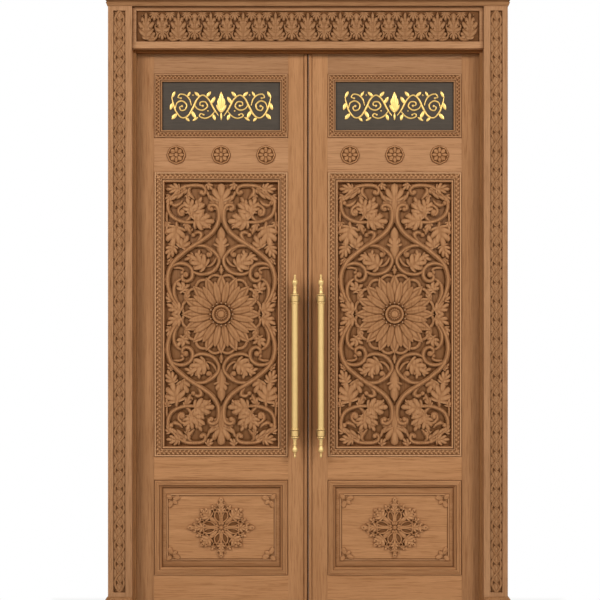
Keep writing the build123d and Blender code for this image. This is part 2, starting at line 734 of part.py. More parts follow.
paired = {
    "post": make_post(),
    "post_carving": make_post_carving(),
    "plinth": make_plinth(),
    "jamb": make_jamb(),
    "jamb_hinges": make_jamb_hinges(),
    "hinge_stile": make_hinge_stile(),
    "meeting_stile": make_meeting_stile(),
    "bottom_rail": make_rail(floor_gap, lower_z, ("high",)),
    "lock_rail": make_rail(lock_z, scroll_z, ("low", "high")),
    "rosette_rail": make_rail(rosette_z, plaque_z, ("low", "high")),
    "top_rail": make_rail(top_rail_z, leaf_top, ("low",)),
    "plaque": make_board(plaque_z, top_rail_z, leaf_face + plaque_sink),
    "plaque_ornament": make_plaque_ornament(),
    "plaque_moulding": set_moulding(plaque_z, top_rail_z, plaque_moulding_width, plaque_sink,
                                    carved_moulding_shares),
    "scroll_panel": make_scroll_panel(),
    "scroll_moulding": set_moulding(scroll_z, rosette_z, scroll_moulding_width, scroll_sink,
                                    carved_moulding_shares),
    "lower_panel": make_lower_panel(),
    "lower_carving": make_lower_carving(),
    "lower_moulding": set_moulding(lower_z, lock_z, lower_moulding_width, margin_sink, plain_moulding_shares),
    "rosettes": make_rosettes(),
    "pull_bar": make_pull_bar(),
    "pull_collars": make_pull_collars(),
    "pull_finials": make_pull_finials(),
    "inner_pull": make_inner_pull(),
    "pull_studs": make_pull_studs(),
    "leaf_hinges": make_leaf_hinges(),
}
single = {
    "head_jamb": make_head_jamb(),
    "lintel": make_lintel(),
    "frieze_carving": make_frieze_carving(),
    "frieze_moulding": make_frieze_moulding(),
    "cornice": make_cornice(),
}

nodes = {name: as_list(shape) for name, shape in single.items()}
for name, shape in paired.items():
    nodes["right_" + name] = as_list(shape)
    nodes["left_" + name] = [solid.mirror(Plane.YZ) for solid in as_list(shape)]

os.makedirs("parts", exist_ok=True)
for name, shapes in nodes.items():
    solids = [solid for shape in shapes for solid in (Pos(0, -depth_middle, 0) * shape).solids()]
    export_step(Compound(solids) if len(solids) > 1 else solids[0], "parts/" + name + ".step")
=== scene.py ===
import math
from collections import namedtuple

import bpy
import numpy as np
from mathutils import Matrix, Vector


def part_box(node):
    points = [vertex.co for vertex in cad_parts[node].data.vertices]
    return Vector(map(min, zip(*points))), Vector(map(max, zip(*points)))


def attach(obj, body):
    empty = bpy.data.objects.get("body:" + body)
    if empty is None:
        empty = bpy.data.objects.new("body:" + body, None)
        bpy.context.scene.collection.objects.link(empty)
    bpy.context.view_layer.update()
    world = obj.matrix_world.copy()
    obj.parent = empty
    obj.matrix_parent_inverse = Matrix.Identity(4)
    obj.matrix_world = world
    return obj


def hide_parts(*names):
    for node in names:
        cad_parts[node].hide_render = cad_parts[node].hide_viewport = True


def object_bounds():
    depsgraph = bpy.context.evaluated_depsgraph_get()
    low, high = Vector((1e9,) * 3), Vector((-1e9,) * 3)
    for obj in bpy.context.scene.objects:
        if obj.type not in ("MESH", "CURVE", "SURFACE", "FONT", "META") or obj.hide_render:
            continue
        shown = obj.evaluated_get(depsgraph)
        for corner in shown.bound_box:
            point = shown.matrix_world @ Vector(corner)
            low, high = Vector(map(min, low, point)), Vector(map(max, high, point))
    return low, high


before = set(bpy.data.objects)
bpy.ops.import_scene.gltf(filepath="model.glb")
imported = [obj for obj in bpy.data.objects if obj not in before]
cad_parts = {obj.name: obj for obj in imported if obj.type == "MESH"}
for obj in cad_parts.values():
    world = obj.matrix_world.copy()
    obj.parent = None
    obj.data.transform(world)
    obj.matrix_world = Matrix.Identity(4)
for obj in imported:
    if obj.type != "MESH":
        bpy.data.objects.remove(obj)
cad_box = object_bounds()

SIDES = ("left", "right")
SIGN = {"left": -1, "right": 1}


def box_of(node):
    """Low corner, high corner and middle of a node."""
    low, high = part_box(node)
    return low, high, tuple((a + b) / 2 for a, b in zip(low, high))


# Sizes that the boxes of the nodes don't give, in metres
scroll_moulding_width = 0.052
lower_moulding_width = 0.036
field_side_margin = 0.028
field_end_margin = 0.038
leaf_thickness = 0.055
frieze_ground_depth = 0.006
strip_ground_depth = 0.003
ornament_half = (0.261, 0.0785)
medallion_half = (0.174, 0.156)
spray_inset = 0.003
leaf_face_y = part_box("right_meeting_stile")[1][1] - leaf_thickness

# Shares of carved leaves: half width to length, the foot under the ground, and the painted shade of their
# walls
leaf_share = 0.40
petal_ratio = 0.16
carving_foot = -0.2
wall_shade = 0.6
sharp_angle = math.radians(48)

# Shader helpers


def add(tree, kind, values=None, links=None, **settings):
    """A node with its settings, its fixed values and its links."""
    node = tree.nodes.new(kind)
    for key, value in settings.items():
        setattr(node, key, value)
    for key, value in (values or {}).items():
        node.inputs[key].default_value = value
    for key, source in (links or {}).items():
        tree.links.new(source, node.inputs[key])
    return node


def new_material(name):
    """Material with one surface shader, and the place of each point of the object."""
    material = bpy.data.materials.new(name)
    material.use_nodes = True
    tree = material.node_tree
    tree.nodes.clear()
    surface = add(tree, "ShaderNodeBsdfPrincipled")
    add(tree, "ShaderNodeOutputMaterial", links={"Surface": surface.outputs["BSDF"]})
    return material, tree, surface, add(tree, "ShaderNodeTexCoord").outputs["Object"]


def noise(tree, vector, scale, detail=2.0, roughness=0.5):
    """Noise factor at a scale."""
    values = {"Scale": scale, "Detail": detail, "Roughness": roughness}
    return add(tree, "ShaderNodeTexNoise", values, {"Vector": vector}).outputs["Fac"]


def stretched(tree, place, scale, location=(0.0, 0.0, 0.0)):
    """Place stretched along an axis, from a start of its own."""
    values = {"Location": location, "Scale": scale}
    return add(tree, "ShaderNodeMapping", values, {"Vector": place}).outputs["Vector"]


def spread(tree, value, low, high, to_low=0.0, to_high=1.0):
    """Value carried from one span to another, held at its ends."""
    values = {"From Min": low, "From Max": high, "To Min": to_low, "To Max": to_high}
    return add(tree, "ShaderNodeMapRange", values, {"Value": value}).outputs["Result"]


def sums(tree, operation, first, second):
    """Sum, product or other working of two values, each a socket or a number."""
    node = tree.nodes.new("ShaderNodeMath")
    node.operation = operation
    for index, value in enumerate((first, second)):
        if isinstance(value, (int, float)):
            node.inputs[index].default_value = value
        else:
            tree.links.new(value, node.inputs[index])
    return node.outputs[0]


def blended(tree, share, first, second):
    """Two colours mixed by a share; each a socket or a colour."""
    node = add(tree, "ShaderNodeMix", data_type="RGBA")
    for index, value in ((0, share), (6, first), (7, second)):
        if isinstance(value, bpy.types.NodeSocket):
            tree.links.new(value, node.inputs[index])
        else:
            node.inputs[index].default_value = (*value, 1.0)
    return node.outputs[2]


def along_axis(tree, place, axis):
    """One coordinate of a place."""
    return add(tree, "ShaderNodeSeparateXYZ", links={"Vector": place}).outputs[axis]


def aside_from(tree, value, middle=0.0):
    """Distance of a value from a middle."""
    return sums(tree, "ABSOLUTE", sums(tree, "SUBTRACT", value, middle), 0.0)


def finish_surface(tree, surface, colour, roughness, height, strength, distance):
    """Colour, roughness and fine bumps of a surface."""
    tree.links.new(colour, surface.inputs["Base Color"])
    tree.links.new(roughness, surface.inputs["Roughness"])
    bump = add(tree, "ShaderNodeBump", {"Strength": strength, "Distance": distance}, {"Height": height})
    tree.links.new(bump.outputs["Normal"], surface.inputs["Normal"])


# Oiled hardwood: its colours, painted shade in its hollows and creases, painted highlights on its crests, and
# where it is darker about the pulls
wood_light = (0.545, 0.278, 0.127)
wood_middle = (0.435, 0.210, 0.090)
wood_deep = (0.245, 0.098, 0.033)
wood_highlight = (0.700, 0.410, 0.220)
shade_and_stain_colour = (0.094, 0.029, 0.005)
plain_tint = (1.0, 1.0, 1.0)
bleached = (1.0, 1.05, 1.15)
hollow_shade_reach = 0.016
pull_height = box_of("right_pull_bar")[2][2]
pull_darkening_aside = (0.085, 0.135)
pull_darkening_along = (0.32, 0.46)


def make_wood(name, grain, tone, seed, hollow_shade=0.0, ground=None, pull_darkening=0.0, shaded=(), tint=plain_tint):
    """Hardwood with its grain along an axis. A carved one has painted shade in its hollows and painted shade
    with stain on its ground (share of the darkening, depth of the crest, depth of the ground), one darker
    about the pull is darker there, and a shaded one has painted shade along an axis (axis, start, end,
    share). A positive crease paints shade and a negative one a highlight."""
    material, tree, surface, place = new_material(name)
    light, middle, deep, highlight = (tuple(tone * part * share for part, share in zip(colour, tint))
                                 for colour in (wood_light, wood_middle, wood_deep, wood_highlight))

    def grain_noise(share, *settings):
        scale = {"X": (share, 1.0, 1.0), "Z": (1.0, 1.0, share)}[grain]
        return noise(tree, stretched(tree, place, scale, (seed, seed * 0.7, seed * 1.3)), *settings)

    figure = grain_noise(0.06, 30.0, 4.0, 0.6)
    streak = grain_noise(0.035, 210.0, 3.0, 0.65)
    fibre = grain_noise(0.025, 620.0, 2.0, 0.6)
    colour = blended(tree, spread(tree, figure, 0.30, 0.72), middle, light)
    colour = blended(tree, spread(tree, streak, 0.50, 0.72, 0.0, 0.70), colour, deep)
    colour = blended(tree, spread(tree, fibre, 0.54, 0.78, 0.0, 0.45), colour, deep)
    shades_and_stain = []
    # Painted shade with stain: the ground darkens with its depth below the crest
    if ground:
        share, crest_y, ground_y = ground
        sunk = sums(tree, "POWER", spread(tree, along_axis(tree, place, "Y"), crest_y, ground_y), 1.5)
        shades_and_stain.append(sums(tree, "MULTIPLY", sunk, share))
    # Painted shade: ambient occlusion of the piece's own shape darkens its hollows
    if hollow_shade:
        hollow = add(tree, "ShaderNodeAmbientOcclusion", {"Distance": hollow_shade_reach}, only_local=True,
                     samples=6)
        shades_and_stain.append(spread(tree, hollow.outputs["AO"], 0.25, 0.92, hollow_shade, 0.0))
    # Painted shade where the crease is positive
    crease = add(tree, "ShaderNodeAttribute", attribute_name="crease").outputs["Fac"]
    shades_and_stain.append(spread(tree, crease, 0.0, 1.0, 0.0, 0.75))
    for share in shades_and_stain:
        colour = blended(tree, share, colour, shade_and_stain_colour)
    # Painted highlight where the crease is negative
    colour = blended(tree, spread(tree, crease, -1.0, 0.0, 0.60, 0.0), colour, highlight)
    # Painted shade along an axis, where the cornice and posts cast shade
    for axis, start, end, share in shaded:
        far = aside_from(tree, along_axis(tree, place, axis))
        colour = blended(tree, spread(tree, far, start, end, 0.0, share), colour, shade_and_stain_colour)
    # Darker about the pull
    if pull_darkening:
        near = spread(tree, aside_from(tree, along_axis(tree, place, "X")), *pull_darkening_aside, pull_darkening, 0.0)
        far = aside_from(tree, along_axis(tree, place, "Z"), pull_height)
        about_pull = sums(tree, "MULTIPLY", near, spread(tree, far, *pull_darkening_along, 1.0, 0.0))
        colour = blended(tree, about_pull, colour, shade_and_stain_colour)
    surface.inputs["Specular IOR Level"].default_value = 0.08
    height = sums(tree, "ADD", sums(tree, "MULTIPLY", fibre, 0.6), streak)
    finish_surface(tree, surface, colour, spread(tree, streak, 0.3, 0.8, 0.44, 0.62), height, 0.25, 0.0006)
    return material


def make_metal(name, colour, dull, rough, patina, metallic):
    """Polished or satin metal with a breath of tarnish and fine scratches."""
    material, tree, surface, place = new_material(name)
    cloud = noise(tree, place, 60.0, 4.0, 0.6)
    scratch = noise(tree, stretched(tree, place, (1.0, 1.0, 30.0)), 90.0, 3.0, 0.6)
    shade = blended(tree, spread(tree, cloud, 0.42, 0.78, 0.0, patina), colour, dull)
    surface.inputs["Metallic"].default_value = metallic
    roughness = spread(tree, scratch, 0.3, 0.7, rough * 0.8, rough * 1.25)
    finish_surface(tree, surface, shade, roughness, scratch, 0.06, 0.0003)
    return material


def make_plaque_board():
    """Dark fumed board behind the gilt ornament."""
    material, tree, surface, place = new_material("plaque_board")
    streak = noise(tree, stretched(tree, place, (0.05, 1.0, 1.0)), 240.0, 3.0, 0.6)
    cloud = noise(tree, place, 14.0, 3.0)
    colour = blended(tree, spread(tree, streak, 0.35, 0.7), (0.040, 0.029, 0.019), (0.066, 0.050, 0.035))
    colour = blended(tree, spread(tree, cloud, 0.4, 0.7, 0.0, 0.3), colour, (0.078, 0.060, 0.043))
    surface.inputs["Specular IOR Level"].default_value = 0.3
    finish_surface(tree, surface, colour, spread(tree, streak, 0.3, 0.7, 0.5, 0.66), streak, 0.15, 0.0004)
    return material


def make_felt():
    """Dark felt of the seal between the leaves, which paints the shade in the gap between them."""
    material, tree, surface, place = new_material("seal_felt")
    nap = noise(tree, place, 900.0, 3.0, 0.7)
    colour = blended(tree, nap, (0.030, 0.016, 0.008), (0.090, 0.050, 0.026))
    tree.links.new(colour, surface.inputs["Base Color"])
    surface.inputs["Roughness"].default_value = 0.95
    return material


def carved_ground(node, share, above, below):
    """Share of painted shade and stain on the ground of a carving, and the depths between which it grows."""
    low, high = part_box(node)
    return share, low[1] + above, high[1] - below


field_face_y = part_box("right_lower_panel")[0][1]
cornice_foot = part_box("cornice")[0][2]
post_inner_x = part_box("right_post")[0][0]
cornice_shade = (("Z", cornice_foot + 0.0150, cornice_foot + 0.0190, 0.55),)
frieze_shade = (("Z", cornice_foot - 0.0200, cornice_foot - 0.0020, 0.88),
                ("X", post_inner_x - 0.0240, post_inner_x - 0.0020, 0.60))
panel_ground = (0.54, field_face_y + 0.0010, field_face_y + 0.0088)
scroll_ground = carved_ground("right_scroll_moulding", 0.56, 0.012, 0.0)
frieze_ground = carved_ground("frieze_carving", 0.72, 0.002, frieze_ground_depth)
strip_ground = carved_ground("right_post_carving", 0.20, 0.001, 0.004)

meeting_stile_wood = make_wood("meeting_stile_wood", "Z", 0.98, 1.3, pull_darkening=0.56)
# Painted shade: the hinge stiles are a darker tone, for the shade of the posts beside them
outer_stile_wood = make_wood("outer_stile_wood", "Z", 0.83, 9.4)
level_wood = make_wood("level_wood", "X", 1.06, 4.1)
rosette_rail_wood = make_wood("rosette_rail_wood", "X", 1.03, 4.1, tint=bleached)
top_rail_wood = make_wood("top_rail_wood", "X", 0.82, 7.1, tint=bleached)
panel_wood = make_wood("panel_wood", "X", 1.05, 6.9, ground=panel_ground)
post_wood = make_wood("post_wood", "Z", 0.92, 7.7, tint=bleached)
plinth_wood = make_wood("plinth_wood", "Z", 0.80, 1.9)
# Painted shade: the lining and the soffit are darker and warmer tones, for the shade in the reveals
lining_wood = make_wood("lining_wood", "Z", 0.78, 3.1, tint=(1.0, 0.96, 0.85))
soffit_wood = make_wood("soffit_wood", "X", 0.48, 8.8, tint=(1.0, 0.76, 0.46))
cornice_wood = make_wood("cornice_wood", "X", 0.72, 2.2, shaded=cornice_shade)
frieze_moulding_wood = make_wood("frieze_moulding_wood", "X", 1.0, 5.1, shaded=frieze_shade, tint=bleached)
scroll_wood = make_wood("scroll_wood", "Z", 0.95, 2.9, 0.84, scroll_ground)
upright_moulding_wood = make_wood("upright_moulding_wood", "Z", 0.98, 5.3, 0.30)
level_moulding_wood = make_wood("level_moulding_wood", "X", 0.98, 5.9, 0.30)
frieze_wood = make_wood("frieze_wood", "X", 0.77, 8.2, 0.94, frieze_ground)
strip_wood = make_wood("strip_wood", "Z", 0.76, 3.6, 0.50, strip_ground)
applied_wood = make_wood("applied_wood", "X", 1.06, 6.4, 0.86)
brass = make_metal("brass", (0.77, 0.53, 0.21), (0.58, 0.37, 0.12), 0.36, 0.30, 0.40)
# Painted shade: the roses and the bands in the grooves of the pulls are dark brass, for the shade they stand
# in
aged_brass = make_metal("aged_brass", (0.20, 0.105, 0.036), (0.11, 0.055, 0.018), 0.50, 0.5, 0.6)
gilt = make_metal("gilt", (0.76, 0.52, 0.17), (0.56, 0.35, 0.09), 0.42, 0.3, 0.8)
hinge_metal = make_metal("hinge_metal", (0.42, 0.39, 0.35), (0.25, 0.22, 0.19), 0.38, 0.6, 1.0)
plaque_board = make_plaque_board()
seal_felt = make_felt()

# Mouldings are made as level and as upright lengths, each along its own grain
lengths = (("_level", True, level_moulding_wood), ("_upright", False, upright_moulding_wood))

# Forms: points, face corners, face sizes and creases of a mesh; a crease of 1 is painted shade and of -1 a
# painted highlight

Form = namedtuple("Form", "points corners sizes creases")


def form_of(mesh):
    """Form read from a mesh, which is then removed."""
    points = np.empty(len(mesh.vertices) * 3, np.float32)
    mesh.vertices.foreach_get("co", points)
    corners = np.empty(len(mesh.loops), np.int32)
    mesh.loops.foreach_get("vertex_index", corners)
    sizes = np.empty(len(mesh.polygons), np.int32)
    mesh.polygons.foreach_get("loop_total", sizes)
    creases = np.zeros(len(mesh.vertices), np.float32)
    if "crease" in mesh.attributes and mesh.attributes["crease"].domain == "POINT":
        mesh.attributes["crease"].data.foreach_get("value", creases)
    bpy.data.meshes.remove(mesh)
    return Form(points.reshape(-1, 3).astype(float), corners, sizes, creases)


def listed(points, faces, creases=None):
    """Form from plain lists."""
    corners = np.array([corner for face in faces for corner in face], np.int32)
    sizes = np.array([len(face) for face in faces], np.int32)
    creases = np.zeros(len(points)) if creases is None else np.array(creases, float)
    return Form(np.array(points, float), corners, sizes, creases)


def moved(form, matrix):
    """Form moved by a matrix; a mirrored one has its faces turned back outwards."""
    grid = np.array(matrix)
    points = form.points @ grid[:3, :3].T + grid[:3, 3]
    corners = form.corners
    if np.linalg.det(grid[:3, :3]) < 0:
        starts = np.cumsum(form.sizes) - form.sizes
        ends = starts + form.sizes - 1
        corners = corners[np.repeat(starts + ends, form.sizes) - np.arange(len(corners))]
    return Form(points, corners, form.sizes, form.creases)


def resized(form, across, up, height, foot=0.0):
    """Form of other sizes, from another foot."""
    return moved(form, Matrix.Translation((0.0, foot, 0.0)) @ Matrix.Diagonal((across, up, height, 1.0)))


def joined(*forms):
    """Several forms as one."""
    offsets = np.cumsum([0] + [len(form.points) for form in forms[:-1]])
    return Form(np.concatenate([form.points for form in forms]),
                np.concatenate([form.corners + offset for form, offset in zip(forms, offsets)]),
                np.concatenate([form.sizes for form in forms]),
                np.concatenate([form.creases for form in forms]))


def edged(form, above, top, edge):
    """Form with one crease above a height and another below it."""
    form.creases[:] = np.where(form.points[:, 2] > above, top, edge)
    return form


def mesh_of(form, name):
    """Plain smooth mesh with its sharp edges marked."""
    mesh = bpy.data.meshes.new(name)
    mesh.vertices.add(len(form.points))
    mesh.vertices.foreach_set("co", form.points.astype(np.float32).ravel())
    mesh.loops.add(len(form.corners))
    mesh.polygons.add(len(form.sizes))
    mesh.polygons.foreach_set("loop_start", (np.cumsum(form.sizes) - form.sizes).astype(np.int32))
    mesh.loops.foreach_set("vertex_index", form.corners.astype(np.int32))
    mesh.update(calc_edges=True)
    mesh.validate()
    mesh.attributes.new("crease", "FLOAT", "POINT").data.foreach_set("value", form.creases.astype(np.float32))
    mesh.polygons.foreach_set("use_smooth", np.ones(len(mesh.polygons), bool))
    mesh.set_sharp_from_angle(angle=sharp_angle)
    return mesh


def piece(form, name, body, slot, material, *nodes):
    """Finished piece with its material, that rides on a body and may stand for nodes; its slot is not used.
    """
    mesh = mesh_of(form, name)
    mesh.materials.append(material)
    thing = bpy.data.objects.new(name, mesh)
    bpy.context.scene.collection.objects.link(thing)
    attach(thing, body)
    if nodes:
        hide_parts(*nodes)


def on_face(x, y, z):
    """Matrix that stands a flat form, with its relief along its own Z, on a face that looks towards -Y."""
    return Matrix.Translation((x, y, z)) @ Matrix.Rotation(math.pi / 2, 4, "X")


# Carved shapes


def walled(points, faces, creases, rim):
    """Closed form: walls from a rim of corners down to a flat foot."""
    low, count = len(points), len(rim)
    points += [(*points[corner][:2], carving_foot) for corner in rim]
    creases += [wall_shade] * count
    for index in range(count):
        after = (index + 1) % count
        faces.append((low + index, low + after, rim[after], rim[index]))
    faces.append(tuple(range(low + count - 1, low - 1, -1)))
    return listed(points, faces, creases)


def relief(shares, wide, surface):
    """Closed carved form over a grid: shares of its length by a number of points across."""
    spots = [surface(t, s) for t in shares for s in np.linspace(-1.0, 1.0, wide)]
    high = len(shares)
    faces = []
    for row in range(high - 1):
        for a in range(row * wide, row * wide + wide - 1):
            faces.append((a, a + 1, a + wide + 1, a + wide))
    rim = list(range(wide))
    rim += [row * wide + wide - 1 for row in range(1, high)]
    rim += [(high - 1) * wide + column for column in range(wide - 2, -1, -1)]
    rim += [row * wide for row in range(high - 2, 0, -1)]
    return walled([spot[:3] for spot in spots], faces, [spot[3] for spot in spots], rim)


def bell(value, middle, width):
    """Smooth hump about a middle."""
    return math.exp(-(((value - middle) / width) ** 2))


def lobe():
    """Rounded lobe of a leaf, one unit long and high and two wide, with painted shade at its edges and its
    root.
    """
    def surface(t, s):
        half = t ** 0.62 * math.sqrt(max(0.0, 1.0 - t ** 3)) / 0.655 + 0.22 * (1.0 - t)
        crown = 0.60 + 0.40 * math.sin(math.pi * (0.10 + 0.74 * t))
        return s * half, t, crown * (1.0 - 0.46 * s * s), 0.40 * abs(s) ** 5 + 0.55 * bell(t, 0.0, 0.16)

    return relief((0.0, 0.18, 0.40, 0.62, 0.80, 0.93, 1.0), 5, surface)


def veined_leaf(reach, spread_angle, trunk, depth, curl=0.25, across=4):
    """Carved leaf one unit long and high: veins fan from its midrib to rounded lobes, with painted shade in
    the notches and along the midrib and painted highlights on the lobes. Reach gives the lengths of veins
    from the foot of the midrib to its tip, at both ends of each pair of lobes."""
    places = (0.0, 0.22, 0.40, 0.5, 0.60, 0.78)
    pairs = len(reach) - 1
    stops = np.round(np.linspace(0.0, 1.0, len(reach)), 2)
    shares = [(pair + place) / pairs for pair in range(pairs) for place in places] + [1.0]
    rows = len(shares) - 1
    points = [(0.0, trunk * t, 0.74) for t in shares]
    creases = [0.25] * (rows + 1)

    def vein(row, side):
        """Corners of one vein, from the midrib to the edge."""
        t = shares[row]
        notch = 1.0 - abs(2.0 * (t * pairs % 1.0) - 1.0)
        length = np.interp(t, stops, reach) * (1.0 - depth * (1.0 - math.sqrt(1.0 - notch * notch)))
        corners = [row]
        for s in np.linspace(0.0, 1.0, across + 1)[1:]:
            angle = math.radians(spread_angle) * (1.0 - t) ** 0.85 * (1.0 - curl * s)
            crown = 0.66 + 0.34 * math.sin(math.pi * (0.14 + 0.66 * s))
            ridge = (1.0 - notch) * math.sin(math.pi * s)
            corners.append(len(points))
            points.append((side * s * length * math.sin(angle), trunk * t + s * length * math.cos(angle),
                           crown - 0.26 * notch ** 1.5 * s - 0.12 * s ** 4))
            creases.append(0.70 * notch ** 3 * s ** 0.5 + 0.22 * s ** 8 - 0.30 * ridge)
        return corners

    tip = vein(rows, 1)
    right = [vein(row, 1) for row in range(rows)] + [tip]
    left = [vein(row, -1) for row in range(rows)] + [tip]
    faces = []
    for row in range(rows):
        for step in range(across):
            for veins, turn in ((right, 1), (left, -1)):
                near, far = veins[row], veins[row + 1]
                faces.append((near[step], near[step + 1], far[step + 1], far[step])[::turn])
    rim = right[0] + [corners[-1] for corners in right[1:]]
    rim += [corners[-1] for corners in left[-2::-1]] + left[0][-2:0:-1]
    form = walled(points, faces, creases, rim)
    form.points[:, 0] *= leaf_share / np.abs(form.points[:, 0]).max()
    return form


def petal_half(t, width, point=0.60):
    """Half width of a pointed petal at a share of its length."""
    belly = 0.72 / (0.72 + point)
    widest = belly ** 0.72 * (1.0 - belly) ** point
    return width * t ** 0.72 * (1.0 - t) ** point / widest + width * 0.12 * (1.0 - t)


def petal_crown(t, full=0.8):
    """Height along the middle of a petal."""
    return 0.42 + 0.58 * math.sin(math.pi * (0.08 + 0.72 * t)) ** full


def pointed_petal(width, full=0.8, groove=0.08, rows=9, columns=5, point=0.60):
    """Pointed petal one unit long and high with a full belly, with painted shade along its middle, at its
    edges and at its root.
    """
    def surface(t, s):
        line = bell(s, 0.0, 0.22)
        dark = 0.30 * line * (1.0 - t) + 0.60 * abs(s) ** 5 + 0.5 * bell(t, 0.0, 0.12)
        z = petal_crown(t, full) * (1.0 - 0.50 * s * s) - groove * line
        return s * petal_half(t, width, point), t, z, dark

    return relief(np.linspace(0.0, 1.0, rows), columns, surface)


def furrowed_petal(width):
    """Pointed petal one unit long and high, rounded at both sides of a furrow, with painted shade in the
    furrow, at its edges and at its root.
    """
    def surface(t, s):
        furrow = bell(s, 0.10, 0.26) * (1.0 - 0.6 * t)
        dark = 0.66 * furrow + 0.95 * abs(s) ** 4 + 1.1 * bell(t, 0.0, 0.13) - 0.08
        z = petal_crown(t) * (1.0 - 0.50 * s * s) - 0.24 * furrow
        return s * petal_half(t, width), t, z, dark

    return relief(np.linspace(0.0, 1.0, 13), 9, surface)


def hollow_sepal(width):
    """Pointed sepal one unit long and high, with a raised border round a smaller leaf and a lifted tip, and
    painted shade in the cut between them and at its edges.
    """
    def surface(t, s):
        half = math.sin(math.pi * min(1.0, 0.12 + 0.60 * t)) ** 1.2 * (1.0 - t ** 4) + 0.10 * (1.0 - t)
        cut = bell(abs(s), 0.56 * (1.0 - min(1.0, t / 0.84) ** 3), 0.15) * (1.0 - t ** 8)
        z = (0.62 + 0.38 * t) * (1.0 - 0.24 * cut) - 0.22 * abs(s) ** 6
        return s * width * half, t, z, 0.80 * cut + 0.70 * abs(s) ** 8 - 0.10

    return relief(np.linspace(0.0, 1.0, 15), 13, surface)


def turned(outline, segments, scallops=0, swing=0.0, crease_at=(), open_ring=False):
    """Turned form about Z from points of radius and height, with painted shade on the rings listed in
    crease_at.
    Scallops ripple its rim, and an open ring has a hole."""
    points, creases, rings = [], [], []
    for index, (radius, height) in enumerate(outline):
        ring = []
        for step in range(segments if radius else 1):
            angle = math.tau * step / segments
            reach = radius * (1.0 + swing * math.cos(scallops * angle))
            ring.append(len(points))
            points.append((reach * math.cos(angle), reach * math.sin(angle), height))
            creases.append(1.0 if index in crease_at else 0.0)
        rings.append(ring if radius else ring * segments)
    faces = []
    for low, high in zip(rings, rings[1:] + (rings[:1] if open_ring else [])):
        for step in range(segments):
            after = (step + 1) % segments
            corners = [low[step], low[after], high[after], high[step]]
            face = [corner for place, corner in enumerate(corners) if corner not in corners[:place]]
            if len(face) > 2:
                faces.append(tuple(face))
    if outline[0][0] and not open_ring:
        faces.append(tuple(reversed(rings[0])))
    if outline[-1][0] and not open_ring:
        faces.append(tuple(rings[-1]))
    return listed(points, faces, creases)


def mitred_lengths(width, height, outline, level):
    """Mitred lengths of a moulding, level or upright, round a rectangle, from points of distance inwards,
    height and crease: painted shade where positive and a painted highlight where negative."""
    points, faces, creases = [], [], []
    count = len(outline)
    for corner in ((0, 2) if level else (1, 3)):
        start = len(points)
        for end in (corner, (corner + 1) % 4):
            for inwards, rise, *shading in outline:
                across, up = width / 2 - inwards, height / 2 - inwards
                points.append(((-across, across, across, -across)[end], (-up, -up, up, up)[end], rise))
                creases.append(shading[0] if shading else 0.0)
        for index in range(count):
            after = (index + 1) % count
            faces.append((start + index, start + count + index, start + count + after, start + after))
        faces.append(tuple(range(start, start + count)))
        faces.append(tuple(range(start + 2 * count - 1, start + count - 1, -1)))
    return listed(points, faces, creases)


def batten(outline, length):
    """Straight moulding upwards from its foot, from points across, height and crease of painted shade."""
    count = len(outline)
    points = [(point[0], up, point[1]) for up in (0.0, length) for point in outline]
    creases = [point[2] if len(point) > 2 else 0.0 for point in outline] * 2
    faces = [(i, (i + 1) % count, count + (i + 1) % count, count + i) for i in range(count)]
    faces += [tuple(range(count - 1, -1, -1)), tuple(range(count, 2 * count))]
    return listed(points, faces, creases)


def slab(low, high):
    """Plain board between two corners, with eased arrises on its front and back."""
    ease = 0.001
    (x0, y0, z0), (x1, y1, z1) = low, high
    points, faces = [], []
    for depth, inset in ((y0, ease), (y0 + ease, 0.0), (y1 - ease, 0.0), (y1, ease)):
        points += [(x0 + inset, depth, z0 + inset), (x1 - inset, depth, z0 + inset),
                   (x1 - inset, depth, z1 - inset), (x0 + inset, depth, z1 - inset)]
    for ring in (0, 4, 8):
        for corner in range(4):
            a, b = ring + corner, ring + (corner + 1) % 4
            faces.append((b, a, a + 4, b + 4))
    return listed(points, faces + [(0, 1, 2, 3), (15, 14, 13, 12)])


# Geometry Nodes: ridges along paths, pieces at points, rings of pieces, borders


def start_tree(name, *sockets):
    """Geometry node tree with named inputs, the last of them a material."""
    tree = bpy.data.node_groups.new(name, "GeometryNodeTree")
    tree.interface.new_socket("Geometry", in_out="INPUT", socket_type="NodeSocketGeometry")
    for label, kind in (*sockets, ("Material", "Material")):
        tree.interface.new_socket(label, in_out="INPUT", socket_type="NodeSocket" + kind)
    tree.interface.new_socket("Geometry", in_out="OUTPUT", socket_type="NodeSocketGeometry")
    return tree, add(tree, "NodeGroupInput").outputs


def end_tree(tree, given, geometry):
    """Realised geometry with its material as the tree's result."""
    real = add(tree, "GeometryNodeRealizeInstances", links={"Geometry": geometry}).outputs["Geometry"]
    links = {"Geometry": real, "Material": given["Material"]}
    done = add(tree, "GeometryNodeSetMaterial", links=links).outputs["Geometry"]
    add(tree, "NodeGroupOutput", links={"Geometry": done})
    return tree


def end_with_copies(tree, given, points, rotation, size):
    """Copies of the given piece on points as the tree's result."""
    thing = add(tree, "GeometryNodeObjectInfo", links={"Object": given["Piece"]}).outputs["Geometry"]
    links = {"Points": points, "Instance": thing, "Rotation": rotation, "Scale": size}
    return end_tree(tree, given, add(tree, "GeometryNodeInstanceOnPoints", links=links).outputs["Instances"])


def attribute(tree, name, kind="FLOAT"):
    """Value of a named attribute of the host."""
    return add(tree, "GeometryNodeInputNamedAttribute", {"Name": name}, data_type=kind).outputs["Attribute"]


def turn_in_plan(tree, angle):
    """Rotation about Z by an angle."""
    turn = add(tree, "ShaderNodeCombineXYZ", links={"Z": angle}).outputs["Vector"]
    return add(tree, "FunctionNodeEulerToRotation", links={"Euler": turn}).outputs["Rotation"]


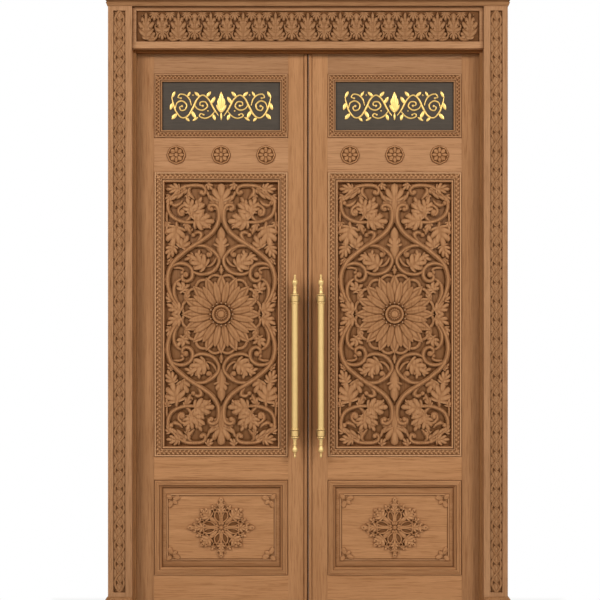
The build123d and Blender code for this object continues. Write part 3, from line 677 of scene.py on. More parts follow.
def aimed_along(tree, vector):
    """Rotation about Z that points a piece's Y along a vector."""
    return add(tree, "FunctionNodeAlignRotationToVector", links={"Vector": vector}, axis="Y",
               pivot_axis="Z").outputs["Rotation"]


def make_ridge_tree():
    """Ridges with a set section along the host's paths, as wide as the host says."""
    tree, given = start_tree("carved_ridges", ("Section", "Object"), ("Fullness", "Float"))
    path = add(tree, "GeometryNodeMeshToCurve", links={"Mesh": given["Geometry"]}).outputs["Curve"]
    path = add(tree, "GeometryNodeSetCurveNormal", links={"Curve": path}, mode="Z_UP").outputs["Curve"]
    shape = add(tree, "GeometryNodeObjectInfo", links={"Object": given["Section"]}).outputs["Geometry"]
    width = sums(tree, "MULTIPLY", attribute(tree, "half_width"), given["Fullness"])
    links = {"Curve": path, "Profile Curve": shape, "Scale": width}
    swept = add(tree, "GeometryNodeCurveToMesh", {"Fill Caps": True}, links).outputs["Mesh"]
    return end_tree(tree, given, swept)


def make_setting_tree():
    """One piece set at each of the host's points, turned and sized as the host says."""
    tree, given = start_tree("set_pieces", ("Piece", "Object"))
    spots = add(tree, "GeometryNodeMeshToPoints", links={"Mesh": given["Geometry"]}).outputs["Points"]
    turn = turn_in_plan(tree, attribute(tree, "turn"))
    return end_with_copies(tree, given, spots, turn, attribute(tree, "size", "FLOAT_VECTOR"))


def make_ring_tree():
    """Like pieces in a ring, each pointing outwards."""
    tree, given = start_tree("piece_ring", ("Piece", "Object"), ("Count", "Int"), ("Radius", "Float"),
                             ("First Angle", "Float"), ("Size", "Vector"))
    links = {"Vertices": given["Count"], "Radius": given["Radius"]}
    ring = add(tree, "GeometryNodeMeshCircle", links=links).outputs["Mesh"]
    links = {"Geometry": ring, "Rotation": turn_in_plan(tree, given["First Angle"])}
    ring = add(tree, "GeometryNodeTransform", links=links).outputs["Geometry"]
    outwards = aimed_along(tree, add(tree, "GeometryNodeInputPosition").outputs["Position"])
    return end_with_copies(tree, given, ring, outwards, given["Size"])


def make_border_tree():
    """Like pieces along the host's path at a pitch, slanting to one side and the other in turn."""
    tree, given = start_tree("piece_border", ("Piece", "Object"), ("Pitch", "Float"), ("Slant", "Float"),
                             ("Size", "Vector"))
    path = add(tree, "GeometryNodeMeshToCurve", links={"Mesh": given["Geometry"]}).outputs["Curve"]
    links = {"Curve": path, "Length": given["Pitch"]}
    spots = add(tree, "GeometryNodeCurveToPoints", links=links, mode="LENGTH").outputs
    index = add(tree, "GeometryNodeInputIndex").outputs["Index"]
    side = sums(tree, "SUBTRACT", sums(tree, "MULTIPLY", sums(tree, "MODULO", index, 2.0), 2.0), 1.0)
    lean = turn_in_plan(tree, sums(tree, "MULTIPLY", side, given["Slant"]))
    links = {"Rotation": aimed_along(tree, spots["Tangent"]), "Rotate By": lean}
    aim = add(tree, "FunctionNodeRotateRotation", links=links).outputs["Rotation"]
    return end_with_copies(tree, given, spots["Points"], aim, given["Size"])


ridge_tree = make_ridge_tree()
setting_tree = make_setting_tree()
ring_tree = make_ring_tree()
border_tree = make_border_tree()


def host_of(points=(), edges=()):
    """Mesh of points and edges for a tree to grow from."""
    host = bpy.data.meshes.new("host")
    host.from_pydata(points, edges, [])
    return host


def grown(tree, host, **inputs):
    """Form that a tree grows from a host mesh."""
    keeper = bpy.data.objects.new("host", host)
    bpy.context.scene.collection.objects.link(keeper)
    modifier = keeper.modifiers.new("grow", "NODES")
    modifier.node_group = tree
    for item in tree.interface.items_tree:
        key = item.name.lower().replace(" ", "_")
        if item.in_out == "INPUT" and key in inputs:
            modifier[item.identifier] = inputs[key]
    result = bpy.data.meshes.new_from_object(keeper.evaluated_get(bpy.context.evaluated_depsgraph_get()))
    bpy.data.objects.remove(keeper)
    bpy.data.meshes.remove(host)
    return form_of(result)


def template(form, name):
    """Object that trees copy, kept out of the scene."""
    return bpy.data.objects.new(name, mesh_of(form, name))


def section(name, right, top=()):
    """Closed section of a ridge, from points across and up in half widths: its right side from the foot, and
    its top."""
    left = [(-across, up) for across, up in right]
    outline = [left[0], *right, *top, *left[:0:-1]]
    curve = bpy.data.curves.new(name, "CURVE")
    spline = curve.splines.new("POLY")
    spline.points.add(len(outline) - 1)
    for point, (across, up) in zip(spline.points, outline):
        point.co = (across, -up, 0.0, 1.0)
    spline.use_cyclic_u = True
    return bpy.data.objects.new(name, curve)


def through(points, steps):
    """Smooth line through points, with steps between each two."""
    points = np.array(points, float)
    ends = np.vstack((2 * points[0] - points[1], points, 2 * points[-1] - points[-2]))
    line = []
    for a, b, c, d in zip(ends, ends[1:], ends[2:], ends[3:]):
        for t in np.arange(steps) / steps:
            bend = (2 * a - 5 * b + 4 * c - d) * t * t + (3 * b - a - 3 * c + d) * t ** 3
            line.append(0.5 * (2 * b + (c - a) * t + bend))
    line.append(points[-1])
    return np.array(line)


def ridges(paths, shape, material):
    """Ridges along lines, each given by its points in three dimensions and its half widths."""
    points, widths, edges = [], [], []
    for line, half_widths in paths:
        start = len(points)
        points += [tuple(point) for point in line]
        widths += list(half_widths)
        edges += [(start + index, start + index + 1) for index in range(len(line) - 1)]
    host = host_of(points, edges)
    host.attributes.new("half_width", "FLOAT", "POINT").data.foreach_set("value", widths)
    return grown(ridge_tree, host, section=shape, fullness=1.0, material=material)


def set_pieces(thing, rows, material):
    """Pieces at places: across, up, height, turn and the three sizes of each."""
    rows = np.array(rows, float)
    host = host_of(rows[:, :3].tolist())
    turns, sizes = rows[:, 3].astype(np.float32), rows[:, 4:7].astype(np.float32).ravel()
    host.attributes.new("turn", "FLOAT", "POINT").data.foreach_set("value", turns)
    host.attributes.new("size", "FLOAT_VECTOR", "POINT").data.foreach_set("vector", sizes)
    return grown(setting_tree, host, piece=thing, material=material)


def ring_of(thing, count, radius, first_angle, size, material):
    """Ring of like pieces."""
    return grown(ring_tree, host_of(), piece=thing, count=count, radius=radius, first_angle=first_angle,
                 size=size, material=material)


def border_of(thing, width, height, rise, pitch, slant, size, material, level):
    """Like pieces along the level or the upright sides of a rectangle."""
    forms = []
    corners = [(x * width / 2, y * height / 2) for x, y in ((-1, -1), (1, -1), (1, 1), (-1, 1))]
    for index in ((0, 2) if level else (1, 3)):
        (x0, y0), (x1, y1) = corners[index], corners[(index + 1) % 4]
        length = math.hypot(x1 - x0, y1 - y0)
        count = max(2, 2 * round(length / pitch / 2))
        host = host_of([(x0, y0, rise), (x1, y1, rise)], [(0, 1)])
        forms.append(grown(border_tree, host, piece=thing, pitch=length / count, slant=slant, size=size,
                           material=material))
    return joined(*forms)


def leaf_row(foot, tip, ratio, leaf_ratio, height):
    """Place, turn and size of a leaf from its foot to its tip."""
    dx, dy = tip[0] - foot[0], tip[1] - foot[1]
    length = math.hypot(dx, dy)
    return (*foot, 0.0, math.atan2(dy, dx) - math.pi / 2, length * ratio / leaf_ratio, length, height)


def spot_row(place, width, height, tall=None):
    """Place and size of a bead, an eye or a like piece."""
    return (*place, 0.0, 0.0, width, tall or width, height)


def at(share, half):
    """Place from shares of half sizes."""
    return share[0] * half[0], share[1] * half[1]


def swelling_lines(tables, half, level, width, swell, steps, rise=0.0):
    """Lines through places given in shares, with half widths that swell along each."""
    lines = []
    for table in tables:
        line = through([(*at(share, half), level) for share in table], steps)
        run = np.linspace(0.0, 1.0, len(line))
        line[:, 2] += rise * np.sin(np.pi * run)
        lines.append((line, width * np.interp(run, *swell)))
    return lines


def leaves_at(thing, table, half, height, ratio, material):
    """Leaves from shares of their feet and tips and the ratio of each one's half width to its length."""
    rows = [leaf_row(at(row[:2], half), at(row[2:4], half), row[4], ratio, height) for row in table]
    return set_pieces(thing, rows, material)


# Sections and templates
round_section = section("round_section", ((0.96, -0.7), (1.0, 0.1), (0.90, 0.55), (0.66, 0.92), (0.34, 1.14)),
                        ((0.0, 1.2),))
stem_section = section("stem_section", ((0.96, -0.7), (1.0, 0.15), (0.90, 0.58), (0.76, 0.68), (0.66, 0.58),
                                        (0.56, 0.88), (0.32, 1.13)), ((0.0, 1.2),))
thin_section = section("thin_section", ((0.95, -0.6), (0.95, 0.15), (0.55, 0.8)), ((0.0, 1.0),))
strand_section = section("strand_section", ((1.0, -0.9), (0.95, 0.15), (0.5, 0.6)))

bead_profile = ((1.0, -0.3), (1.0, 0.15), (0.86, 0.55), (0.5, 0.88), (0.0, 1.0))
bell_form = joined(resized(veined_leaf((0.40, 0.44, 0.62), 80, 0.38, 0.30), 1.0, 0.46, 0.92, 0.36),
                   resized(lobe(), 0.235, 0.70, 0.96),
                   resized(pointed_petal(0.20), 1.0, 0.54, 1.04, 0.46))
broad_leaf = template(veined_leaf((0.30, 0.42, 0.46, 0.50), 112, 0.50, 0.30), "broad_leaf")
trefoil = template(veined_leaf((0.46, 0.52, 0.64), 104, 0.36, 0.32), "trefoil")
narrow_leaf = template(veined_leaf((0.16, 0.28, 0.42), 64, 0.58, 0.28), "narrow_leaf")
fan_leaf = template(veined_leaf((0.52, 0.62, 0.70, 0.78), 104, 0.22, 0.24), "fan_leaf")
crown_leaf = template(veined_leaf((0.50, 0.66, 0.78), 84, 0.22, 0.28), "crown_leaf")
bell_leaf = template(bell_form, "bell_leaf")
tip_leaf = template(veined_leaf((0.40, 0.62), 74, 0.38, 0.46), "tip_leaf")
palmette = template(veined_leaf((0.10, 0.25, 0.35, 0.33, 0.34), 84, 0.66, 0.26), "palmette")
lily = template(veined_leaf((0.46, 0.46, 0.60), 108, 0.40, 0.28), "lily")
petal = template(pointed_petal(petal_ratio), "petal")
# Stitches, lozenges and pale beads carry painted highlights on their tops and painted shade at their edges;
# an eye is dark all over, painted shade for a drilled hole
small_petal = template(edged(pointed_petal(petal_ratio, rows=5, columns=3), 0.3, -0.25, 0.2), "small_petal")
round_ratio = 0.30
round_petal = template(pointed_petal(round_ratio, 0.7, 0.10, 7, 5, 0.45), "round_petal")
lozenge = template(edged(pointed_petal(0.30, 0.6, 0.0, 5, 3), 0.6, -0.45, 0.55), "lozenge")
eye = template(turned(((1.0, -0.3), (1.0, 0.98), (0.0, 1.0)), 8, crease_at=(0, 1, 2)), "eye")
bead = template(turned(bead_profile, 10), "bead")
pale_bead = template(edged(turned(bead_profile, 10), 0.5, -1.0, 0.6), "pale_bead")

# Tall scroll panel: shares of the half sizes of its opening, upper right quarter
main_stem = ((0.172, 0.797), (0.212, 0.800), (0.208, 0.820), (0.150, 0.829), (0.078, 0.816), (0.043, 0.772),
             (0.047, 0.712), (0.088, 0.664), (0.168, 0.616), (0.288, 0.574), (0.425, 0.536), (0.563, 0.499),
             (0.683, 0.458), (0.803, 0.413), (0.890, 0.362), (0.938, 0.299), (0.945, 0.240), (0.918, 0.181),
             (0.862, 0.122), (0.786, 0.070), (0.712, 0.035))
curls = (
    ((0.480, 0.518), (0.322, 0.519), (0.202, 0.497), (0.100, 0.461), (0.045, 0.424), (0.046, 0.386),
     (0.100, 0.345), (0.190, 0.315), (0.300, 0.303), (0.400, 0.304), (0.500, 0.322)),
    ((0.925, 0.325), (0.854, 0.368), (0.734, 0.385), (0.614, 0.377), (0.530, 0.347), (0.506, 0.306),
     (0.532, 0.270), (0.610, 0.250), (0.678, 0.263), (0.682, 0.290), (0.626, 0.300)),
    ((0.905, 0.890), (0.936, 0.845), (0.938, 0.800), (0.888, 0.750), (0.785, 0.717), (0.648, 0.698),
     (0.511, 0.697), (0.391, 0.702)),
    ((0.615, 0.706), (0.545, 0.738), (0.516, 0.780), (0.545, 0.813), (0.623, 0.826), (0.700, 0.818),
     (0.750, 0.792), (0.742, 0.764), (0.698, 0.752), (0.655, 0.764)),
    ((0.350, 0.925), (0.322, 0.911), (0.282, 0.926), (0.288, 0.952), (0.357, 0.972), (0.494, 0.976),
     (0.648, 0.966), (0.768, 0.933), (0.890, 0.880)),
)
sheaths = (
    ((0.660, 0.272), (0.751, 0.258), (0.825, 0.216), (0.836, 0.159), (0.790, 0.105), (0.715, 0.055)),
    ((0.530, 0.965), (0.575, 0.945), (0.570, 0.915), (0.520, 0.890), (0.480, 0.868)),
    ((0.683, 0.862), (0.735, 0.836), (0.820, 0.824), (0.888, 0.840)),
    ((0.646, 0.692), (0.608, 0.671), (0.577, 0.645), (0.554, 0.622), (0.546, 0.604)),
    ((0.4965, 0.600), (0.454, 0.6145), (0.401, 0.621), (0.355, 0.608), (0.362, 0.585), (0.401, 0.562),
     (0.439, 0.545)),
    ((0.780, 0.712), (0.790, 0.680), (0.770, 0.650), (0.760, 0.625)),
)
tendrils = (
    ((0.300, 0.512), (0.215, 0.488), (0.175, 0.462), (0.205, 0.442), (0.245, 0.452)),
    ((0.085, 0.430), (0.130, 0.392), (0.200, 0.368), (0.300, 0.362)),
    ((0.845, 0.350), (0.745, 0.352), (0.675, 0.338), (0.690, 0.315)),
    ((0.445, 0.395), (0.480, 0.372), (0.470, 0.350), (0.430, 0.345)),
    ((0.560, 0.150), (0.610, 0.172), (0.640, 0.140), (0.645, 0.100)),
    ((0.955, 0.780), (0.965, 0.730), (0.955, 0.690)),
    ((0.572, 0.640), (0.530, 0.634), (0.506, 0.650)),
    ((0.262, 0.935), (0.225, 0.905), (0.205, 0.870)),
)
# Knobs have a radius in metres; leaves run from foot to tip, with their half width to their length
knobs = ((0.176, 0.797, 0.014), (0.628, 0.299, 0.016), (0.690, 0.774, 0.017), (0.345, 0.924, 0.013),
         (0.222, 0.450, 0.015), (0.690, 0.316, 0.010), (0.4965, 0.600, 0.012), (0.445, 0.347, 0.009),
         (0.886, 0.842, 0.013), (0.900, 0.100, 0.010))
broad_leaves = ((0.731, 0.950, 0.975, 0.948, 0.44), (0.545, 0.748, 0.290, 0.838, 0.44),
                (0.520, 0.775, 0.610, 0.886, 0.50), (0.480, 0.710, 0.112, 0.702, 0.46),
                (0.782, 0.664, 0.878, 0.505, 0.50), (0.270, 0.362, 0.580, 0.452, 0.44),
                (0.840, 0.522, 0.950, 0.420, 0.44), (0.712, 0.022, 0.960, 0.078, 0.46))
trefoils = ((0.700, 0.500, 0.586, 0.598, 0.50), (0.640, 0.185, 0.800, 0.246, 0.50),
            (0.700, 0.180, 0.555, 0.226, 0.48), (0.420, 0.418, 0.385, 0.490, 0.48),
            (0.480, 0.440, 0.650, 0.410, 0.48), (0.880, 0.100, 0.955, 0.168, 0.50),
            (0.620, 0.905, 0.540, 0.868, 0.46), (0.900, 0.900, 0.972, 0.838, 0.46),
            (0.950, 0.700, 0.968, 0.628, 0.46), (0.250, 0.690, 0.185, 0.645, 0.46),
            (0.250, 0.990, 0.140, 0.938, 0.46))
narrow_leaves = ((0.608, 0.951, 0.915, 0.859, 0.17), (0.454, 0.800, 0.343, 0.889, 0.30),
                 (0.940, 0.300, 0.980, 0.215, 0.26), (0.620, 0.110, 0.560, 0.180, 0.28),
                 (0.640, 0.694, 0.536, 0.612, 0.30), (0.900, 0.580, 0.975, 0.610, 0.30),
                 (0.860, 0.425, 0.965, 0.372, 0.28), (0.035, 0.796, 0.215, 0.905, 0.27),
                 (0.560, 0.735, 0.425, 0.770, 0.28), (0.360, 0.720, 0.240, 0.765, 0.34),
                 (0.400, 0.690, 0.270, 0.650, 0.34))
bell_leaves = ((0.0, 0.415, 0.0, 0.662, 0.245), (0.0, 0.298, 0.0, 0.375, 0.30))
crown_leaves = ((0.0, 0.850, 0.0, 0.992, 0.56),)
crown_stalks = ((0.0, 0.690, 0.0, 0.900, 0.15),)

# How the half width of a ridge swells along it: shares of its run, and shares of its width there
even = ((0.0, 0.06, 0.2, 0.8, 1.0), (0.70, 0.92, 1.0, 1.0, 0.8))
fading = ((0.0, 0.2, 0.75, 1.0), (0.6, 1.0, 0.9, 0.5))
swelling = ((0.0, 0.3, 0.6, 1.0), (0.45, 1.0, 1.1, 0.5))
reed = ((0.0, 0.12, 0.3, 0.5, 0.7, 0.88, 1.0), (0.35, 1.0, 0.75, 1.1, 0.75, 1.0, 0.4))
tail = ((0.0, 0.25, 0.8, 1.0), (0.6, 1.0, 0.8, 0.5))


def scroll_carving(half):
    """Scrolls, leaves and flower of a tall panel, flat, with the ground at height zero."""
    def stems(tables, shape, level, width, swell, rise=0.0):
        return ridges(swelling_lines(tables, half, level, width, swell, 5, rise), shape, scroll_wood)

    def leaves(thing, table, height, ratio=leaf_share):
        return leaves_at(thing, table, half, height, ratio, scroll_wood)

    quarter = joined(
        stems((main_stem,), stem_section, 0.0065, 0.0122, even, 0.002),
        stems(curls, stem_section, 0.0058, 0.0105, even),
        stems(sheaths, stem_section, 0.0035, 0.0115, swelling),
        stems(tendrils, round_section, 0.0048, 0.0075, fading),
        set_pieces(bead, [(*at(k, half), 0.006, 0.0, k[2], k[2], k[2] * 0.95) for k in knobs], scroll_wood),
        leaves(broad_leaf, broad_leaves, 0.0195), leaves(trefoil, trefoils, 0.0165),
        leaves(narrow_leaf, narrow_leaves, 0.0155))
    spine = joined(leaves(bell_leaf, bell_leaves, 0.018), leaves(crown_leaf, crown_leaves, 0.020),
                   leaves(petal, crown_stalks, 0.0215, petal_ratio))
    parts = [resized(quarter, x, y, 1.0) for x in (1, -1) for y in (1, -1)]
    parts += [resized(spine, 1.0, up, 1.0) for up in (1, -1)]
    return joined(*parts, flower())


flower_count = 16
# Rings 5, 6, 7 and 11 of the disc carry painted shade in its grooves
flower_disc = ((0.048, -0.002), (0.048, 0.017), (0.0455, 0.0215), (0.0415, 0.0225), (0.038, 0.0205),
               (0.0355, 0.0180), (0.031, 0.0165), (0.0270, 0.0166), (0.0250, 0.0200), (0.0225, 0.0212),
               (0.0205, 0.0196), (0.0195, 0.0176), (0.0175, 0.0186), (0.0150, 0.0214), (0.0110, 0.0238),
               (0.0060, 0.0250), (0.0, 0.0253))
flower_rim = ((0.186, 0.0), (0.1975, 0.25), (0.2020, 0.5), (0.1975, 0.75), (0.186, 1.0))
flower_rim_level, flower_rim_half_width = 0.0050, 0.0080


def flower():
    """Large flower of sixteen petals over sixteen sepals, with an arched rim and a scalloped middle."""
    step = math.tau / flower_count

    def ring(thing, radius, first_angle, size):
        return ring_of(thing, flower_count, radius, first_angle, size, scroll_wood)

    arcs = []
    for index in range(flower_count):
        line = through([(radius * math.cos((index + share) * step), radius * math.sin((index + share) * step),
                         flower_rim_level) for radius, share in flower_rim], 4)
        arcs.append((line, np.full(len(line), flower_rim_half_width)))
    sepal = template(hollow_sepal(0.235), "sepal")
    furrowed = template(furrowed_petal(0.150), "furrowed_petal")
    return joined(ring(sepal, 0.092, 0.0, (0.112, 0.111, 0.0185)),
                  ring(furrowed, 0.044, step / 2, (0.132, 0.127, 0.0225)),
                  ridges(arcs, round_section, scroll_wood),
                  ring(pale_bead, 0.0575, 0.0, (0.0056, 0.0056, 0.0240)),
                  turned(flower_disc, 64, flower_count, 0.022, (5, 6, 7, 11)),
                  ring(pale_bead, 0.0262, 0.0, (0.0036, 0.0036, 0.0240)))


# Mouldings: distance inwards, height and crease: painted shade in the quirks where positive, painted
# highlight on the fillets where negative
scroll_outline = ((0.0, 0.0), (0.0, 0.0205, 0.9), (0.0020, 0.0205, 0.9), (0.0026, 0.0280, 0.0),
                  (0.0036, 0.0298, -0.8), (0.0060, 0.0300, -1.0), (0.0090, 0.0300, -1.0),
                  (0.0102, 0.0288, -0.2), (0.0108, 0.0246, 0.9), (0.0134, 0.0242, 0.9),
                  (0.0142, 0.0250, 0.62), (0.0312, 0.0250, 0.62), (0.0320, 0.0242, 0.9),
                  (0.0338, 0.0242, 0.9), (0.0344, 0.0276, -0.2), (0.0356, 0.0290, -0.7),
                  (0.0376, 0.0290, -0.7), (0.0388, 0.0270, -0.1), (0.0394, 0.0220, 1.0),
                  (0.0424, 0.0218, 1.0), (0.0430, 0.0250, 0.1), (0.0446, 0.0278, -0.6),
                  (0.0476, 0.0276, -0.6), (0.0504, 0.0250), (0.0520, 0.0205), (0.0520, 0.0))
plaque_outline = ((0.0, 0.0), (0.0, 0.0110, 1.0), (0.0026, 0.0110, 1.0), (0.0032, 0.0176, 0.1),
                  (0.0042, 0.0198, -0.6), (0.0070, 0.0200, -0.8), (0.0082, 0.0184, -0.2),
                  (0.0088, 0.0150, 0.9), (0.0110, 0.0148, 0.9), (0.0118, 0.0158, 0.95),
                  (0.0244, 0.0158, 0.95), (0.0252, 0.0148, 0.9), (0.0268, 0.0148, 0.9),
                  (0.0274, 0.0180, -0.2), (0.0286, 0.0194, -0.7), (0.0304, 0.0188, -0.6), (0.0314, 0.0168),
                  (0.0320, 0.0134, 1.0), (0.0346, 0.0132, 1.0), (0.0354, 0.0162, -0.3),
                  (0.0378, 0.0156, -0.4), (0.0400, 0.0118), (0.0400, 0.0))
lower_outline = ((0.0, 0.0), (0.0, 0.0125, 1.0), (0.0024, 0.0125, 1.0), (0.0030, 0.0220, 0.2),
                 (0.0042, 0.0246), (0.0100, 0.0252), (0.0106, 0.0244, 0.5), (0.0114, 0.0244, 0.5),
                 (0.0122, 0.0254), (0.0180, 0.0258), (0.0188, 0.0250, 0.4), (0.0196, 0.0250, 0.4),
                 (0.0204, 0.0258), (0.0250, 0.0256), (0.0264, 0.0244), (0.0270, 0.0215, 1.0),
                 (0.0284, 0.0212, 1.0), (0.0292, 0.0216, 0.1), (0.0350, 0.0150), (0.0396, 0.0098, 0.1),
                 (0.0404, 0.0050, 1.0), (0.0418, 0.0034, 1.0), (0.0420, 0.0, 1.0))
# Borders: distance inwards, height, pitch, slant and size of the stitches
stitch_slant = math.radians(38)
scroll_border = (0.0227, 0.0242, 0.0112, stitch_slant, (0.0280, 0.0176, 0.0048))
plaque_border = (0.0181, 0.0152, 0.0096, stitch_slant, (0.0230, 0.0136, 0.0042))


def framed(node, name, outline, border, body, slot):
    """Moulding round a panel in mitred lengths along their grain, with a carved border along its band."""
    low, high, middle = box_of(node)
    across, up = high[0] - low[0], high[2] - low[2]
    place = on_face(middle[0], high[1], middle[2])
    for ending, level, material in lengths:
        forms = [mitred_lengths(across, up, outline, level)]
        if border:
            inwards, *stitches = border
            sizes = (across - 2 * inwards, up - 2 * inwards)
            forms.append(border_of(small_petal, *sizes, *stitches, material, level))
        nodes = (node,) if level else ()
        piece(moved(joined(*forms), place), name + ending, body, slot, material, *nodes)


low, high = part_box("right_scroll_moulding")
scroll_form = scroll_carving([(high[axis] - low[axis]) / 2 - scroll_moulding_width for axis in (0, 2)])
board_inset = 0.001
for side in SIDES:
    body = side + "_leaf"
    low, high, middle = box_of(side + "_scroll_moulding")
    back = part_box(side + "_scroll_panel")[1][1]
    board = slab((low[0] + board_inset, high[1], low[2] + board_inset),
                 (high[0] - board_inset, back, high[2] - board_inset))
    whole = joined(board, moved(scroll_form, on_face(middle[0], high[1], middle[2])))
    piece(whole, side + "_scroll_carving", body, "carved_wood", scroll_wood, side + "_scroll_panel")
    for panel, outline, border, slot in (("scroll", scroll_outline, scroll_border, "carved_wood"),
                                         ("plaque", plaque_outline, plaque_border, "carved_wood"),
                                         ("lower", lower_outline, None, "leaf_wood")):
        framed(f"{side}_{panel}_moulding", f"{side}_{panel}_frame", outline, border, body, slot)

# Gilt ornament of the plaques: shares of its half sizes, right half
ornament_vines = (
    ((0.05, -0.62), (0.14, -0.2), (0.24, 0.42), (0.36, 0.72), (0.47, 0.45), (0.55, -0.1), (0.65, -0.62),
     (0.77, -0.74), (0.88, -0.35), (0.935, 0.15), (0.965, 0.62)),
)
ornament_curls = (
    ((0.525, 0.15), (0.47, -0.15), (0.36, -0.25), (0.27, -0.02), (0.31, 0.27), (0.40, 0.27), (0.415, 0.08),
     (0.37, 0.03)),
    ((0.90, -0.2), (0.86, 0.22), (0.76, 0.34), (0.675, 0.1), (0.70, -0.2), (0.78, -0.27), (0.81, -0.07),
     (0.77, 0.02)),
    ((0.12, -0.3), (0.20, -0.62), (0.31, -0.78), (0.42, -0.66), (0.40, -0.48), (0.34, -0.54)),
    ((0.58, 0.05), (0.62, 0.45), (0.70, 0.72), (0.80, 0.78), (0.84, 0.58), (0.78, 0.52)),
)
ornament_leaves = ((0.29, 0.6, 0.20, 0.95, 0.2), (0.42, 0.62, 0.52, 0.93, 0.2),
                   (0.585, -0.25, 0.50, -0.80, 0.16), (0.70, -0.70, 0.62, -0.98, 0.2),
                   (0.86, -0.45, 0.965, -0.85, 0.2), (0.945, 0.25, 0.995, -0.25, 0.18),
                   (0.96, 0.55, 0.90, 0.97, 0.18), (0.20, 0.15, 0.12, 0.62, 0.18),
                   (0.66, 0.6, 0.60, 0.95, 0.18), (0.16, -0.5, 0.12, -0.92, 0.2),
                   (0.45, -0.70, 0.56, -0.95, 0.16), (0.0, -0.30, 0.055, 0.52, 0.16),
                   (0.0, -0.40, 0.095, 0.10, 0.16))
ornament_centre = ((0.0, -0.25, 0.0, 0.95, 0.11), (0.0, -0.40, 0.0, -0.92, 0.12))
ornament_dots = ((0.36, 0.03, 0.0065), (0.765, 0.01, 0.0065), (0.345, -0.55, 0.0055), (0.785, 0.52, 0.0055),
                 (0.55, 0.72, 0.0045), (0.26, -0.30, 0.0045))
ornament_level = 0.0012


def plaque_ornament(half):
    """Gilt scrolls, leaves and palmette, flat, on a ground at height zero."""
    def vines(tables, width, swell):
        return ridges(swelling_lines(tables, half, ornament_level, width, swell, 7), thin_section, gilt)

    dots = set_pieces(bead, [spot_row(at(dot, half), dot[2], 0.0045) for dot in ornament_dots], gilt)
    right = joined(vines(ornament_vines, 0.0058, reed), vines(ornament_curls, 0.0046, tail),
                   leaves_at(petal, ornament_leaves, half, 0.0050, petal_ratio, gilt), dots)
    centre = leaves_at(petal, ornament_centre, half, 0.0056, petal_ratio, gilt)
    knot = set_pieces(bead, [spot_row(at((0.0, -0.33), half), 0.009, 0.0062)], gilt)
    return joined(right, resized(right, -1.0, 1.0, 1.0), centre, knot)


# Lower panel: pierced medallion, corner sprays and the bead round the field
almond_sides = (((0.16, 0.040), (0.23, 0.135), (0.33, 0.192), (0.44, 0.192), (0.53, 0.140)),
                ((0.16, 0.040), (0.27, 0.032), (0.38, 0.040), (0.47, 0.078), (0.53, 0.140)))
almond_half_width = 0.0043
axis_widths = (0.0058, 0.0050, 0.0046, 0.0050, 0.0064, 0.0090)
medallion_level = 0.0030
medallion_shade_plate = ((0.620, -0.0010), (0.620, 0.0006), (0.48, 0.0007), (0.34, 0.0007), (0.20, 0.0007),
                    (0.0, 0.0007))
medallion_boss = ((0.0128, 0.0), (0.0128, 0.0084), (0.0112, 0.0102), (0.0098, 0.0092), (0.0084, 0.0108),
                  (0.0058, 0.0130), (0.0030, 0.0138), (0.0, 0.0142))
volute_ring = ((0.0056, 0.0), (0.0130, 0.0), (0.0130, 0.0054), (0.0112, 0.0084), (0.0090, 0.0088),
               (0.0068, 0.0068), (0.0056, 0.0030))


